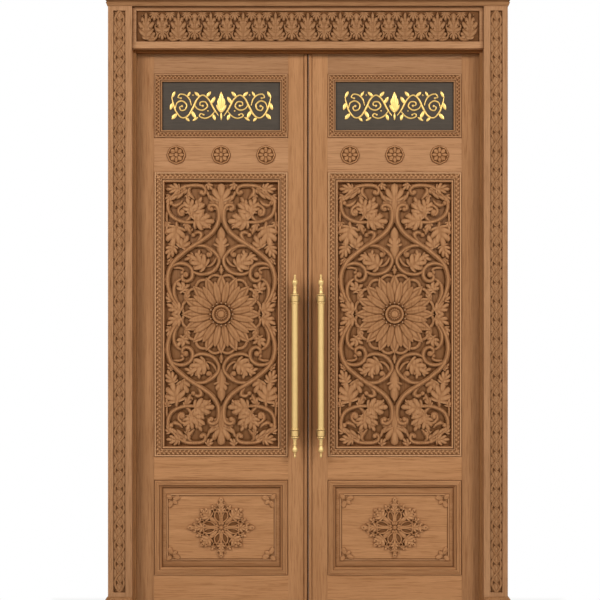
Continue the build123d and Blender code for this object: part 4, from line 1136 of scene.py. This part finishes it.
def medallion(half):
    """Pierced eight-armed medallion over a dark plate of painted shade for its piercings, flat, at height
    zero.
    """
    def along(angle, ahead, aside):
        return at((ahead * math.cos(angle) - aside * math.sin(angle),
                   ahead * math.sin(angle) + aside * math.cos(angle)), half)

    def polar(radius, angle):
        return along(angle, radius, 0.0)

    def leaf(foot, foot_angle, tip, tip_angle, ratio, height, leaf_ratio=leaf_share):
        return leaf_row(polar(foot, foot_angle), polar(tip, tip_angle), ratio, leaf_ratio, height)

    def dimple(radius, angle, width, height):
        eyes.append(spot_row(polar(radius, angle), width, height))

    ribs, blades, tips, broad, small, rings, eyes = [], [], [], [], [], [], []
    for arm in range(8):
        angle = arm * math.pi / 4
        if arm % 2 == 0:
            axis_line = [(*polar(r, angle), medallion_level) for r in np.linspace(0.10, 0.54, 6)]
            ribs.append((axis_line, axis_widths))
            tips.append(leaf(0.70, angle, 1.0, angle, 0.50, 0.0145))
            broad.append(leaf(0.50, angle, 0.82, angle, 0.44, 0.0130))
            dimple(0.905, angle, 0.0034, 0.0148)
        else:
            blades.append(leaf(0.12, angle, 0.60, angle, 0.135, 0.0120, petal_ratio))
            broad.append(leaf(0.46, angle, 0.87, angle, 0.50, 0.0145))
            dimple(0.770, angle, 0.0034, 0.0150)
        for turn in (1, -1):
            if arm % 2 == 0:
                for almond_side in almond_sides:
                    line = through([(*along(angle, ahead, turn * aside), medallion_level)
                                    for ahead, aside in almond_side], 4)
                    ribs.append((line, np.full(len(line), almond_half_width)))
                rings.append((*polar(0.585, angle + 0.31 * turn), 0.0, 0.0, 1.0, 1.0, 1.0))
                tips.append(leaf(0.63, angle + 0.34 * turn, 0.80, angle + 0.37 * turn, 0.50, 0.0125))
                dimple(0.790, angle + 0.10 * turn, 0.0034, 0.0142)
                dimple(0.675, angle + 0.155 * turn, 0.0040, 0.0132)
            else:
                small.append(leaf(0.54, angle + 0.08 * turn, 0.72, angle + 0.25 * turn, 0.44, 0.0120))
                dimple(0.690, angle + 0.12 * turn, 0.0038, 0.0148)
    volute = template(turned(volute_ring, 16, open_ring=True), "volute")
    ground = turned(medallion_shade_plate, 64, 8, -0.06)
    radii = np.hypot(ground.points[:, 0], ground.points[:, 1])
    # The plate is dark all over, painted shade for the piercings of the medallion
    ground.creases[:] = np.interp(radii, (0.2, 0.34, 0.5), (1.0, 0.85, 1.0))
    pieces = ((broad_leaf, broad), (trefoil, small), (volute, rings), (tip_leaf, tips), (eye, eyes),
              (petal, blades))
    # The boss carries painted shade in its groove
    return joined(resized(ground, *half, 1.0), turned(medallion_boss, 24, crease_at=(3,)),
                  ridges(ribs, round_section, applied_wood),
                  *(set_pieces(thing, rows, applied_wood) for thing, rows in pieces),
                  ring_of(petal, 8, 0.0105, math.pi / 8, (0.0460, 0.0215, 0.0125), applied_wood))


# Corner sprays: tip of each leaf from the corner, its half width to its length, and its height
spray_foot = (-0.024, -0.024)
spray_leaves = (((-0.066, -0.010), 0.29, 0.0115), ((-0.010, -0.066), 0.29, 0.0115),
                ((0.002, 0.002), 0.34, 0.0115), ((-0.050, -0.046), 0.32, 0.0115),
                ((-0.052, -0.022), 0.32, 0.0095), ((-0.022, -0.052), 0.32, 0.0095))


def corner_spray():
    """Leaves from one foot, for the corner at the upper right of the field."""
    rows = [leaf_row(spray_foot, tip, ratio, round_ratio, height) for tip, ratio, height in spray_leaves]
    centre = set_pieces(eye, [spot_row(spray_foot, 0.0042, 0.0118)], applied_wood)
    return joined(set_pieces(round_petal, rows, applied_wood), centre)


# Bead round the field: painted shade at its foot and in its quirk, painted highlights on its round
field_bead_outline = ((-0.0030, -0.0060, 1.0), (-0.0030, 0.0, 1.0), (-0.0012, 0.0008, 0.6),
                      (0.0004, 0.0026, -0.3), (0.0026, 0.0032, -0.6), (0.0048, 0.0026, -0.4),
                      (0.0056, 0.0006, 1.0), (0.0090, 0.0005, 1.0), (0.0098, 0.0010, 0.1),
                      (0.0110, 0.0002), (0.0110, -0.0060))
ornament_form = plaque_ornament(ornament_half)
medallion_form = medallion(medallion_half)
spray_form = corner_spray()
for side in SIDES:
    body = side + "_leaf"
    _, high, middle = box_of(side + "_plaque_moulding")
    place = on_face(middle[0], high[1], middle[2])
    piece(moved(ornament_form, place), side + "_gilt_ornament", body, "gilt", gilt, side + "_plaque_ornament")
    low, high, middle = box_of(side + "_lower_moulding")
    place = on_face(middle[0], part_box(side + "_lower_panel")[0][1], middle[2])
    field = (high[0] - low[0] - 2 * (lower_moulding_width + field_side_margin),
             high[2] - low[2] - 2 * (lower_moulding_width + field_end_margin))
    corner_x, corner_z = (size / 2 - spray_inset for size in field)
    forms = [medallion_form]
    for x in (1, -1):
        for z in (1, -1):
            corner = Matrix.Translation((x * corner_x, z * corner_z, 0.0))
            forms.append(moved(spray_form, corner @ Matrix.Diagonal((x, z, 1.0, 1.0))))
    piece(moved(joined(*forms), place), side + "_medallion", body, "carved_wood", applied_wood,
          side + "_lower_carving")
    for ending, level, material in lengths:
        bead_form = moved(mitred_lengths(*field, field_bead_outline, level), place)
        piece(bead_form, side + "_field_bead" + ending, body, "leaf_wood", material)

# Rosettes
# Painted shade: a thin dark ring at the foot of the dish, a dark floor inside its rim, and a dark groove
# round the button
rosette_dish = ((0.0482, 0.0), (0.0482, 0.0006), (0.0458, 0.0008), (0.0456, 0.0066), (0.0444, 0.0094),
                (0.0424, 0.0106), (0.0402, 0.0102), (0.0390, 0.0080), (0.0380, 0.0044), (0.0, 0.0040))
rosette_groove = ((0.0118, 0.0), (0.0118, 0.0074), (0.0098, 0.0076))
rosette_button = ((0.0092, 0.0), (0.0092, 0.0086), (0.0078, 0.0112), (0.0042, 0.0126), (0.0, 0.0129))
rosette_petal_foot = 0.0095
# Rings of four petals: first angle and size
rosette_petals = ((0.0, (0.0300, 0.0300, 0.0124)), (math.pi / 4, (0.0370, 0.0290, 0.0114)))


def rosette():
    """Round rosette with a scalloped rim, eight petals and a button."""
    petals = [ring_of(round_petal, 4, rosette_petal_foot, first_angle, size, applied_wood)
              for first_angle, size in rosette_petals]
    return joined(turned(rosette_dish, 64, 8, 0.022, (1, 2, 8, 9)), *petals,
                  turned(rosette_groove, 20, crease_at=(1, 2)), turned(rosette_button, 20))


rosette_form = rosette()
for side in SIDES:
    low, high, middle = box_of(side + "_rosettes")
    half = (high[2] - low[2]) / 2
    spots = (low[0] + half, middle[0], high[0] - half)
    forms = [moved(rosette_form, on_face(x, high[1], middle[2])) for x in spots]
    piece(joined(*forms), side + "_carved_rosettes", side + "_leaf", "carved_wood", applied_wood,
          side + "_rosettes")

# Post strips: interlaced strands with lozenges between them
strip_pitch = 0.0945
# Strands: swing, waves to a pitch, height, lift where they cross, half width
strip_strands = ((0.0235, 1, 0.0042, 0.0012, 0.0064), (0.0150, 2, 0.0034, -0.0010, 0.0048))
# Edge of the strip's sunk field: painted shade at its foot
strip_edge = ((0.0, 0.0), (0.0, 0.0086), (0.0008, 0.0090), (0.0030, 0.0020, 1.0), (0.0030, 0.0, 1.0))
# Lozenges of each half pitch: distance from the middle, rise in pitches and the three sizes
strip_lozenges = ((0.0, 0.04, (0.050, 0.041, 0.0080)), (0.0105, 0.26, (0.020, 0.022, 0.0062)))
# Lozenges along the edges, one pitch apart: distance from the middle, drop and the three sizes
edge_lozenge_x, edge_lozenge_drop, edge_lozenge_size = 0.0220, 0.028, (0.046, 0.056, 0.0072)
lozenge_foot = -0.0006


def post_strip(length):
    """Interlace strip, flat, from its foot upwards, on a ground at height zero."""
    count = round(length / strip_pitch)
    pitch = length / count
    rise = np.linspace(0.0, length, count * 12 + 1)
    strands = []
    for swing, waves, level, lift, half_width in strip_strands:
        wave = waves * (np.pi * rise / pitch)
        paths = []
        for sign in (1, -1):
            line = np.stack((sign * swing * np.sin(wave), rise, level + sign * lift * np.cos(wave)), axis=1)
            paths.append((line, np.full(len(rise), half_width)))
        strands.append(ridges(paths, strand_section, strip_wood))
    rows = []
    for index in range(2 * count):
        for across, share, size in strip_lozenges:
            for sign in ((1, -1) if across else (1,)):
                rows.append((sign * across, pitch * (index / 2 + share), lozenge_foot, 0.0, *size))
    for index in range(count + 1):
        for sign in (1, -1):
            up = pitch * index - edge_lozenge_drop
            rows.append((sign * edge_lozenge_x, up, lozenge_foot, 0.0, *edge_lozenge_size))
    rows = [row for row in rows if row[1] >= 0.0 and row[1] + row[5] <= length]
    return joined(*strands, set_pieces(lozenge, rows, strip_wood))


low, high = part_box("left_post_carving")
strip_form = post_strip(high[2] - low[2])
for side in SIDES:
    low, high, middle = box_of(side + "_post_carving")
    ground = high[1] - strip_ground_depth
    around = on_face(middle[0], ground, middle[2])
    edges = [moved(mitred_lengths(high[0] - low[0], high[2] - low[2], strip_edge, level), around)
             for level in (True, False)]
    board = slab((low[0], ground, low[2]), high)
    whole = joined(board, moved(strip_form, on_face(middle[0], ground, low[2])), *edges)
    piece(whole, side + "_post_interlace", "frame", "carved_wood", strip_wood, side + "_post_carving")

# Frieze: palmettes and lilies in turn, measured from the middle of each and from the foot of the ground
frieze_pitch = 0.1622
frieze_ridge_level = 0.0042
# Dots and eyes: across, up, half width, half height, height
palmette_dots = ((0.0300, 0.0500, 0.0066, 0.0066, 0.0130), (0.0180, 0.1335, 0.0050, 0.0050, 0.0115))
palmette_eyes = ((0.0175, 0.1000, 0.0034, 0.0040, 0.0142), (0.0200, 0.0670, 0.0034, 0.0044, 0.0142),
                 (0.0120, 0.1240, 0.0028, 0.0040, 0.0142))
lily_eyes = ((0.0200, 0.0830, 0.0036, 0.0036, 0.0138), (0.0095, 0.1130, 0.0030, 0.0050, 0.0138),
             (0.0120, 0.0400, 0.0030, 0.0040, 0.0134))
# Ridges: places across and up, and half widths along them
palmette_scroll = (((0.004, 0.013), (0.022, 0.008), (0.040, 0.012), (0.053, 0.026), (0.056, 0.042),
                    (0.050, 0.054)), (0.0050, 0.0072, 0.0060, 0.0045))
lily_ridges = ((((0.021, 0.098), (0.020, 0.116), (0.012, 0.130), (0.001, 0.141)), (0.0036, 0.0044, 0.0036)),
               (((0.004, 0.054), (0.018, 0.060), (0.031, 0.066), (0.036, 0.078), (0.031, 0.086)),
                (0.0040, 0.0056, 0.0044)))


def frieze(width, height):
    """Palmette frieze, flat, from its middle, on a ground at height zero."""
    palmettes, blades, lilies, shells, sprigs, dots, eyes, paths = [], [], [], [], [], [], [], []

    def spot(x, turn, across, up):
        return x + turn * across, up - height / 2

    def leaf(x, turn, foot, tip, ratio, rise, leaf_ratio=leaf_share):
        return leaf_row(spot(x, turn, *foot), spot(x, turn, *tip), ratio, leaf_ratio, rise)

    def specks(x, turn, table):
        return [spot_row(spot(x, turn, across, up), wide, rise, tall)
                for across, up, wide, tall, rise in table]

    def ridge(x, turn, places, widths):
        line = through([(*spot(x, turn, *place), frieze_ridge_level) for place in places], 4)
        run = np.linspace(0, 1, len(line))
        paths.append((line, np.interp(run, np.linspace(0, 1, len(widths)), widths)))

    for index in range(-5, 6):
        x = index * frieze_pitch
        palmettes.append(leaf(x, 1, (0.0, 0.010), (0.0, 0.147), 0.285, 0.0140))
        blades.append(leaf(x, 1, (0.0, 0.008), (0.0, 0.151), 0.062, 0.0160, petal_ratio))
        for turn in (1, -1):
            dots += specks(x, turn, palmette_dots)
            eyes += specks(x, turn, palmette_eyes)
            if abs(x + turn * frieze_pitch / 2) < width / 2:
                ridge(x, turn, *palmette_scroll)
                sprigs.append(leaf(x, turn, (0.012, 0.016), (0.046, 0.046), 0.42, 0.0105))
                shells.append(leaf(x, turn, (0.0425, 0.1475), (0.0405, 0.106), 0.60, 0.0098))
    for index in range(-5, 5):
        x = (index + 0.5) * frieze_pitch
        lilies.append(leaf(x, 1, (0.0, 0.052), (0.0, 0.143), 0.40, 0.0135))
        shells.append(leaf(x, 1, (0.0, 0.054), (0.0, 0.010), 0.60, 0.0130))
        blades.append(leaf(x, 1, (0.0, 0.040), (0.0, 0.122), 0.085, 0.0155, petal_ratio))
        dots += specks(x, 1, ((0.0, 0.0860, 0.0070, 0.0070, 0.0165),))
        for turn in (1, -1):
            eyes += specks(x, turn, lily_eyes)
            for lily_ridge in lily_ridges:
                ridge(x, turn, *lily_ridge)
    pieces = ((palmette, palmettes), (petal, blades), (lily, lilies), (fan_leaf, shells),
              (narrow_leaf, sprigs), (bead, dots), (eye, eyes))
    return joined(*(set_pieces(thing, rows, frieze_wood) for thing, rows in pieces),
                  ridges(paths, round_section, frieze_wood))


low, high, middle = box_of("frieze_carving")
ground = high[1] - frieze_ground_depth
frieze_form = moved(frieze(high[0] - low[0], high[2] - low[2]), on_face(0.0, ground, middle[2]))
whole = joined(slab((low[0], ground, low[2]), high), frieze_form)
piece(whole, "palmette_frieze", "frame", "carved_wood", frieze_wood, "frieze_carving")

# Handles: turned bars, collars, finials and roses; a pull's head is in millimetres from its bar's end
pull_head = ((16.0, 0.0), (19.4, 0.4), (20.1, 1.6), (20.2, 3.2), (20.0, 5.0), (19.2, 6.2), (15.0, 7.0),
             (15.0, 9.0), (17.2, 10.4), (17.4, 13.0), (17.5, 20.0), (17.6, 26.0), (17.4, 33.0),
             (17.2, 37.6), (15.0, 39.0), (15.0, 41.0), (19.4, 41.6), (20.1, 43.0), (20.2, 44.5),
             (20.0, 46.2), (19.0, 47.2), (14.0, 47.8), (12.4, 49.4), (12.2, 52.0), (11.8, 54.6),
             (10.4, 57.0), (9.4, 60.4), (9.0, 66.0), (8.8, 72.0), (8.8, 75.4), (10.4, 76.8), (11.0, 78.8),
             (10.6, 80.6), (8.8, 82.0), (8.4, 85.0), (8.6, 89.0), (10.0, 93.0), (12.6, 97.4),
             (14.4, 102.4), (15.0, 107.4), (14.5, 112.0), (12.7, 116.2), (9.4, 119.2), (6.6, 120.8),
             (6.5, 123.4), (5.8, 125.0), (4.4, 126.6), (4.2, 130.0), (4.9, 133.6), (5.9, 137.4),
             (5.8, 140.6), (4.4, 144.0), (2.2, 146.4), (0.0, 147.0))
head_outline = [(radius / 1000.0, height / 1000.0) for radius, height in pull_head]
collar_top, finial_foot = 0.0473, 0.0480
collar_outline = [point for point in head_outline if point[1] <= collar_top] + [(0.0120, collar_top)]
finial_outline = [(0.0118, 0.0474)] + [point for point in head_outline if point[1] > finial_foot]
rose_outline = ((0.0268, 0.0), (0.0268, 0.0024), (0.0256, 0.0040), (0.0220, 0.0048), (0.0195, 0.0040),
                (0.0150, 0.0054), (0.0120, 0.0100), (0.0095, 0.0160), (0.0090, 0.0300), (0.0090, 0.0500))
# Dark bands of painted shade in the grooves: distance from the end of the bar, inner radius, outer radius
groove_rings = ((0.0080, 0.0130, 0.0156), (0.0400, 0.0130, 0.0156), (0.0490, 0.0105, 0.0136))
groove_half = 0.0012
bar_overrun, bar_end = 0.0005, 0.012
back_radius, back_neck, back_ease = 0.013, 0.010, 0.003


def lathed(outline, segments, x, y, z, flip=False):
    """Turned form set upright at a place, or upside down."""
    turn = Matrix.Rotation(math.pi, 4, "X") if flip else Matrix.Identity(4)
    return moved(turned(outline, segments), Matrix.Translation((x, y, z)) @ turn)


def at_both_ends(outline, segments, x, y, low_z, high_z):
    """Turned form above the upper end of a bar, and its like below the lower end."""
    return joined(lathed(outline, segments, x, y, high_z), lathed(outline, segments, x, y, low_z, True))


for side in SIDES:
    body = side + "_leaf"
    low, high, (x, y, _) = box_of(side + "_pull_bar")
    radius, length = (high[0] - low[0]) / 2, high[2] - low[2]
    bar = [(radius, up) for up in (-bar_overrun, bar_end, length / 2, length - bar_end, length + bar_overrun)]
    piece(lathed(bar, 64, x, y, low[2]), side + "_turned_bar", body, "brass", brass, side + "_pull_bar")
    collar_low, collar_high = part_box(side + "_pull_collars")
    stud_z = [(high[2] + collar_high[2]) / 2, (low[2] + collar_low[2]) / 2]
    roses = [moved(turned(rose_outline, 48), on_face(x, leaf_face_y, z)) for z in stud_z]
    for rise, inner, outer in groove_rings:
        ring = ((inner, -groove_half), (outer, -groove_half), (outer, groove_half), (inner, groove_half))
        band = turned(ring, 48, open_ring=True)
        roses += [moved(band, Matrix.Translation((x, y, z))) for z in (high[2] + rise, low[2] - rise)]
    collars = at_both_ends(collar_outline, 56, x, y, low[2], high[2])
    finials = at_both_ends(finial_outline, 48, x, y, low[2], high[2])
    piece(collars, side + "_turned_collars", body, "brass", brass, side + "_pull_collars")
    piece(joined(*roses), side + "_pull_roses", body, "brass", aged_brass)
    piece(finials, side + "_turned_finials", body, "brass", brass, side + "_pull_finials")
    low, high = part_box(side + "_inner_pull")
    inner_y = high[1] - back_radius
    length = high[2] - low[2]
    rod = [(back_radius - back_ease, 0.0), (back_radius, back_ease), (back_radius, length / 2),
           (back_radius, length - back_ease), (back_radius - back_ease, length)]
    back_rose = [(0.024, 0.0), (0.024, 0.003), (0.021, 0.005), (0.0115, 0.0062), (back_neck, 0.010),
                 (back_neck, inner_y - low[1])]
    forms = [lathed(rod, 48, x, inner_y, low[2])]
    for z in stud_z:
        stand = Matrix.Translation((x, low[1], z)) @ Matrix.Rotation(-math.pi / 2, 4, "X")
        forms.append(moved(turned(back_rose, 32), stand))
    piece(joined(*forms), side + "_back_pull", body, "brass", brass, side + "_inner_pull")

# Beads along the meeting edges of the leaves, with painted shade in their quirks, and the dark felt seal
# between them, which paints the shade in the gap
meeting_outline = ((0.0, -0.0020), (0.0, 0.0012), (0.0012, 0.0026), (0.0036, 0.0034), (0.0064, 0.0036),
                   (0.0092, 0.0032), (0.0114, 0.0022), (0.0122, 0.0005, 1.0), (0.0160, 0.0005, 1.0),
                   (0.0166, 0.0010, 0.4), (0.0170, -0.0020))
meeting_end, seal_end, seal_clearance = 0.002, 0.004, 0.0002
seal_front, seal_back = 0.008, 0.030
for side in SIDES:
    low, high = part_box(side + "_meeting_stile")
    edge = min(abs(low[0]), abs(high[0]))
    strip = batten(meeting_outline, high[2] - low[2] - 2 * meeting_end)
    strip = moved(moved(strip, on_face(edge, leaf_face_y, low[2] + meeting_end)),
                  Matrix.Diagonal((SIGN[side], 1.0, 1.0, 1.0)))
    piece(strip, side + "_meeting_bead", side + "_leaf", "leaf_wood", meeting_stile_wood)
low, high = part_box("left_meeting_stile")
seal = slab((high[0], seal_front, low[2] + seal_end),
            (-high[0] - seal_clearance, seal_back, high[2] - seal_end))
piece(seal, "meeting_seal", "left_leaf", "leaf_wood", seal_felt)

# Beads round the panels on the back of the leaves, with painted shade in their quirks
back_bead_outline = ((0.0, 0.0), (0.0, 0.0098), (0.0012, 0.0106), (0.0034, 0.0104), (0.0056, 0.0090),
                     (0.0072, 0.0066), (0.0078, 0.0040, 0.4), (0.0098, 0.0034), (0.0118, 0.0024),
                     (0.0126, 0.0006, 1.0), (0.0140, 0.0004, 1.0), (0.0140, 0.0, 1.0))
to_back = Matrix.Rotation(math.pi, 4, "Z") @ Matrix.Rotation(math.pi / 2, 4, "X")
for side in SIDES:
    for panel, board in (("plaque", "plaque"), ("scroll", "scroll_panel"), ("lower", "lower_panel")):
        low, high, middle = box_of(f"{side}_{panel}_moulding")
        place = Matrix.Translation((middle[0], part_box(f"{side}_{board}")[1][1], middle[2])) @ to_back
        for ending, level, material in lengths:
            bead_form = mitred_lengths(high[0] - low[0], high[2] - low[2], back_bead_outline, level)
            name = f"{side}_{panel}_back_bead{ending}"
            piece(moved(bead_form, place), name, side + "_leaf", "leaf_wood", material)

# Timbers keep their solids, with eased arrises and wood along their grain


def dress(node, material, ease):
    """Material of a CAD node, and its arrises eased by a bevel."""
    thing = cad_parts[node]
    thing.data.materials.clear()
    thing.data.materials.append(material)
    if ease:
        weld = thing.modifiers.new("weld", "WELD")
        weld.merge_threshold = 0.00001
        bevel = thing.modifiers.new("ease", "BEVEL")
        bevel.width = ease
        bevel.segments = 2
        bevel.limit_method = "ANGLE"
        bevel.angle_limit = math.radians(40)
        bevel.use_clamp_overlap = True


side_timbers = (("post", post_wood, 0.002), ("plinth", plinth_wood, 0.002), ("jamb", lining_wood, 0.0012),
                ("jamb_hinges", hinge_metal, 0.0), ("leaf_hinges", hinge_metal, 0.0),
                ("hinge_stile", outer_stile_wood, 0.0014), ("meeting_stile", meeting_stile_wood, 0.0008),
                ("bottom_rail", level_wood, 0.0008), ("lock_rail", level_wood, 0.0008),
                ("rosette_rail", rosette_rail_wood, 0.0008), ("top_rail", top_rail_wood, 0.0008),
                ("plaque", plaque_board, 0.0), ("lower_panel", panel_wood, 0.0), ("pull_studs", brass, 0.0))
head_timbers = (("head_jamb", soffit_wood, 0.0012), ("lintel", level_wood, 0.0),
                ("frieze_moulding", frieze_moulding_wood, 0.002), ("cornice", cornice_wood, 0.002))
for side in SIDES:
    for node, material, ease in side_timbers:
        dress(side + "_" + node, material, ease)
for node, material, ease in head_timbers:
    dress(node, material, ease)

# Stage, light and camera


def seen_by_eye(tree):
    """One for rays that the eye sees, straight or in a reflection."""
    ray = add(tree, "ShaderNodeLightPath").outputs
    mirrored = sums(tree, "MAXIMUM", ray["Is Glossy Ray"], ray["Is Transmission Ray"])
    return sums(tree, "MAXIMUM", ray["Is Camera Ray"], mirrored)


def pale_floor():
    """Pale floor that fades to white for the eye, away from the shadow at the foot of the door."""
    half = 7.0
    fade_start, fade_end = 0.05, 0.38
    mesh = bpy.data.meshes.new("floor")
    corners = [(-half, -half, 0), (half, -half, 0), (half, half, 0), (-half, half, 0)]
    mesh.from_pydata(corners, [], [(0, 1, 2, 3)])
    material, tree, surface, place = new_material("floor")
    surface.inputs["Base Color"].default_value = (0.74, 0.74, 0.74, 1.0)
    surface.inputs["Roughness"].default_value = 0.9
    aside = [sums(tree, "SUBTRACT", aside_from(tree, along_axis(tree, place, axis)), reach)
             for axis, reach in (("X", cad_box[1][0]), ("Y", cad_box[1][1]))]
    far = spread(tree, sums(tree, "MAXIMUM", *aside), fade_start, fade_end)
    white = add(tree, "ShaderNodeEmission", {"Color": (1.0, 1.0, 1.0, 1.0), "Strength": 1.0})
    links = {0: sums(tree, "MULTIPLY", seen_by_eye(tree), far), 1: surface.outputs["BSDF"],
             2: white.outputs["Emission"]}
    mixed = add(tree, "ShaderNodeMixShader", links=links)
    target = next(node for node in tree.nodes if node.type == "OUTPUT_MATERIAL")
    tree.links.new(mixed.outputs["Shader"], target.inputs["Surface"])
    mesh.materials.append(material)
    thing = bpy.data.objects.new("floor", mesh)
    bpy.context.scene.collection.objects.link(thing)


def soft_lamp(name, location, target, size, power, colour):
    """Large soft area lamp that looks at a point."""
    lamp = bpy.data.lights.new(name, "AREA")
    lamp.shape = "RECTANGLE"
    lamp.size, lamp.size_y = size
    lamp.energy = power
    lamp.color = colour
    thing = bpy.data.objects.new(name, lamp)
    thing.location = location
    aim = Matrix.Translation(target).translation - thing.location
    thing.rotation_euler = aim.to_track_quat("-Z", "Y").to_euler()
    bpy.context.scene.collection.objects.link(thing)


warm_white = (1.0, 0.98, 0.95)
pale_floor()
for side in SIDES:
    place = (SIGN[side] * 4.2, -6.0, 5.1)
    soft_lamp(side + "_softbox", place, (0.0, 0.0, 1.3), (2.0, 1.6), 268.0, warm_white)
soft_lamp("front_fill", (0.0, -6.8, 2.0), (0.0, 0.0, 1.5), (3.6, 3.0), 26.0, (1.0, 0.96, 0.90))
soft_lamp("back_fill", (1.4, 6.4, 6.0), (0.0, 0.0, 1.5), (2.8, 2.0), 420.0, warm_white)

world = bpy.data.worlds.new("studio")
bpy.context.scene.world = world
world.use_nodes = True
sky = world.node_tree
sky.nodes.clear()
lit = add(sky, "ShaderNodeBackground", {"Color": (1.0, 0.90, 0.78, 1.0), "Strength": 0.09})
white = add(sky, "ShaderNodeBackground", {"Color": (1.0, 1.0, 1.0, 1.0), "Strength": 1.0})
mixed = add(sky, "ShaderNodeMixShader", links={0: seen_by_eye(sky), 1: lit.outputs[0], 2: white.outputs[0]})
add(sky, "ShaderNodeOutputWorld", links={"Surface": mixed.outputs[0]})

photo_width = 600.0
door_off_middle = 7.9
camera = bpy.data.cameras.new("camera")
camera.sensor_width = 36.0
camera.lens = 72.0
camera.shift_x = -door_off_middle / photo_width
viewer = bpy.data.objects.new("camera", camera)
viewer.location = (0.0, -6.086, 1.63)
viewer.rotation_euler = (math.pi / 2, 0.0, 0.0)
bpy.context.scene.collection.objects.link(viewer)
bpy.context.scene.camera = viewer
bpy.context.scene.view_settings.view_transform = "Standard"
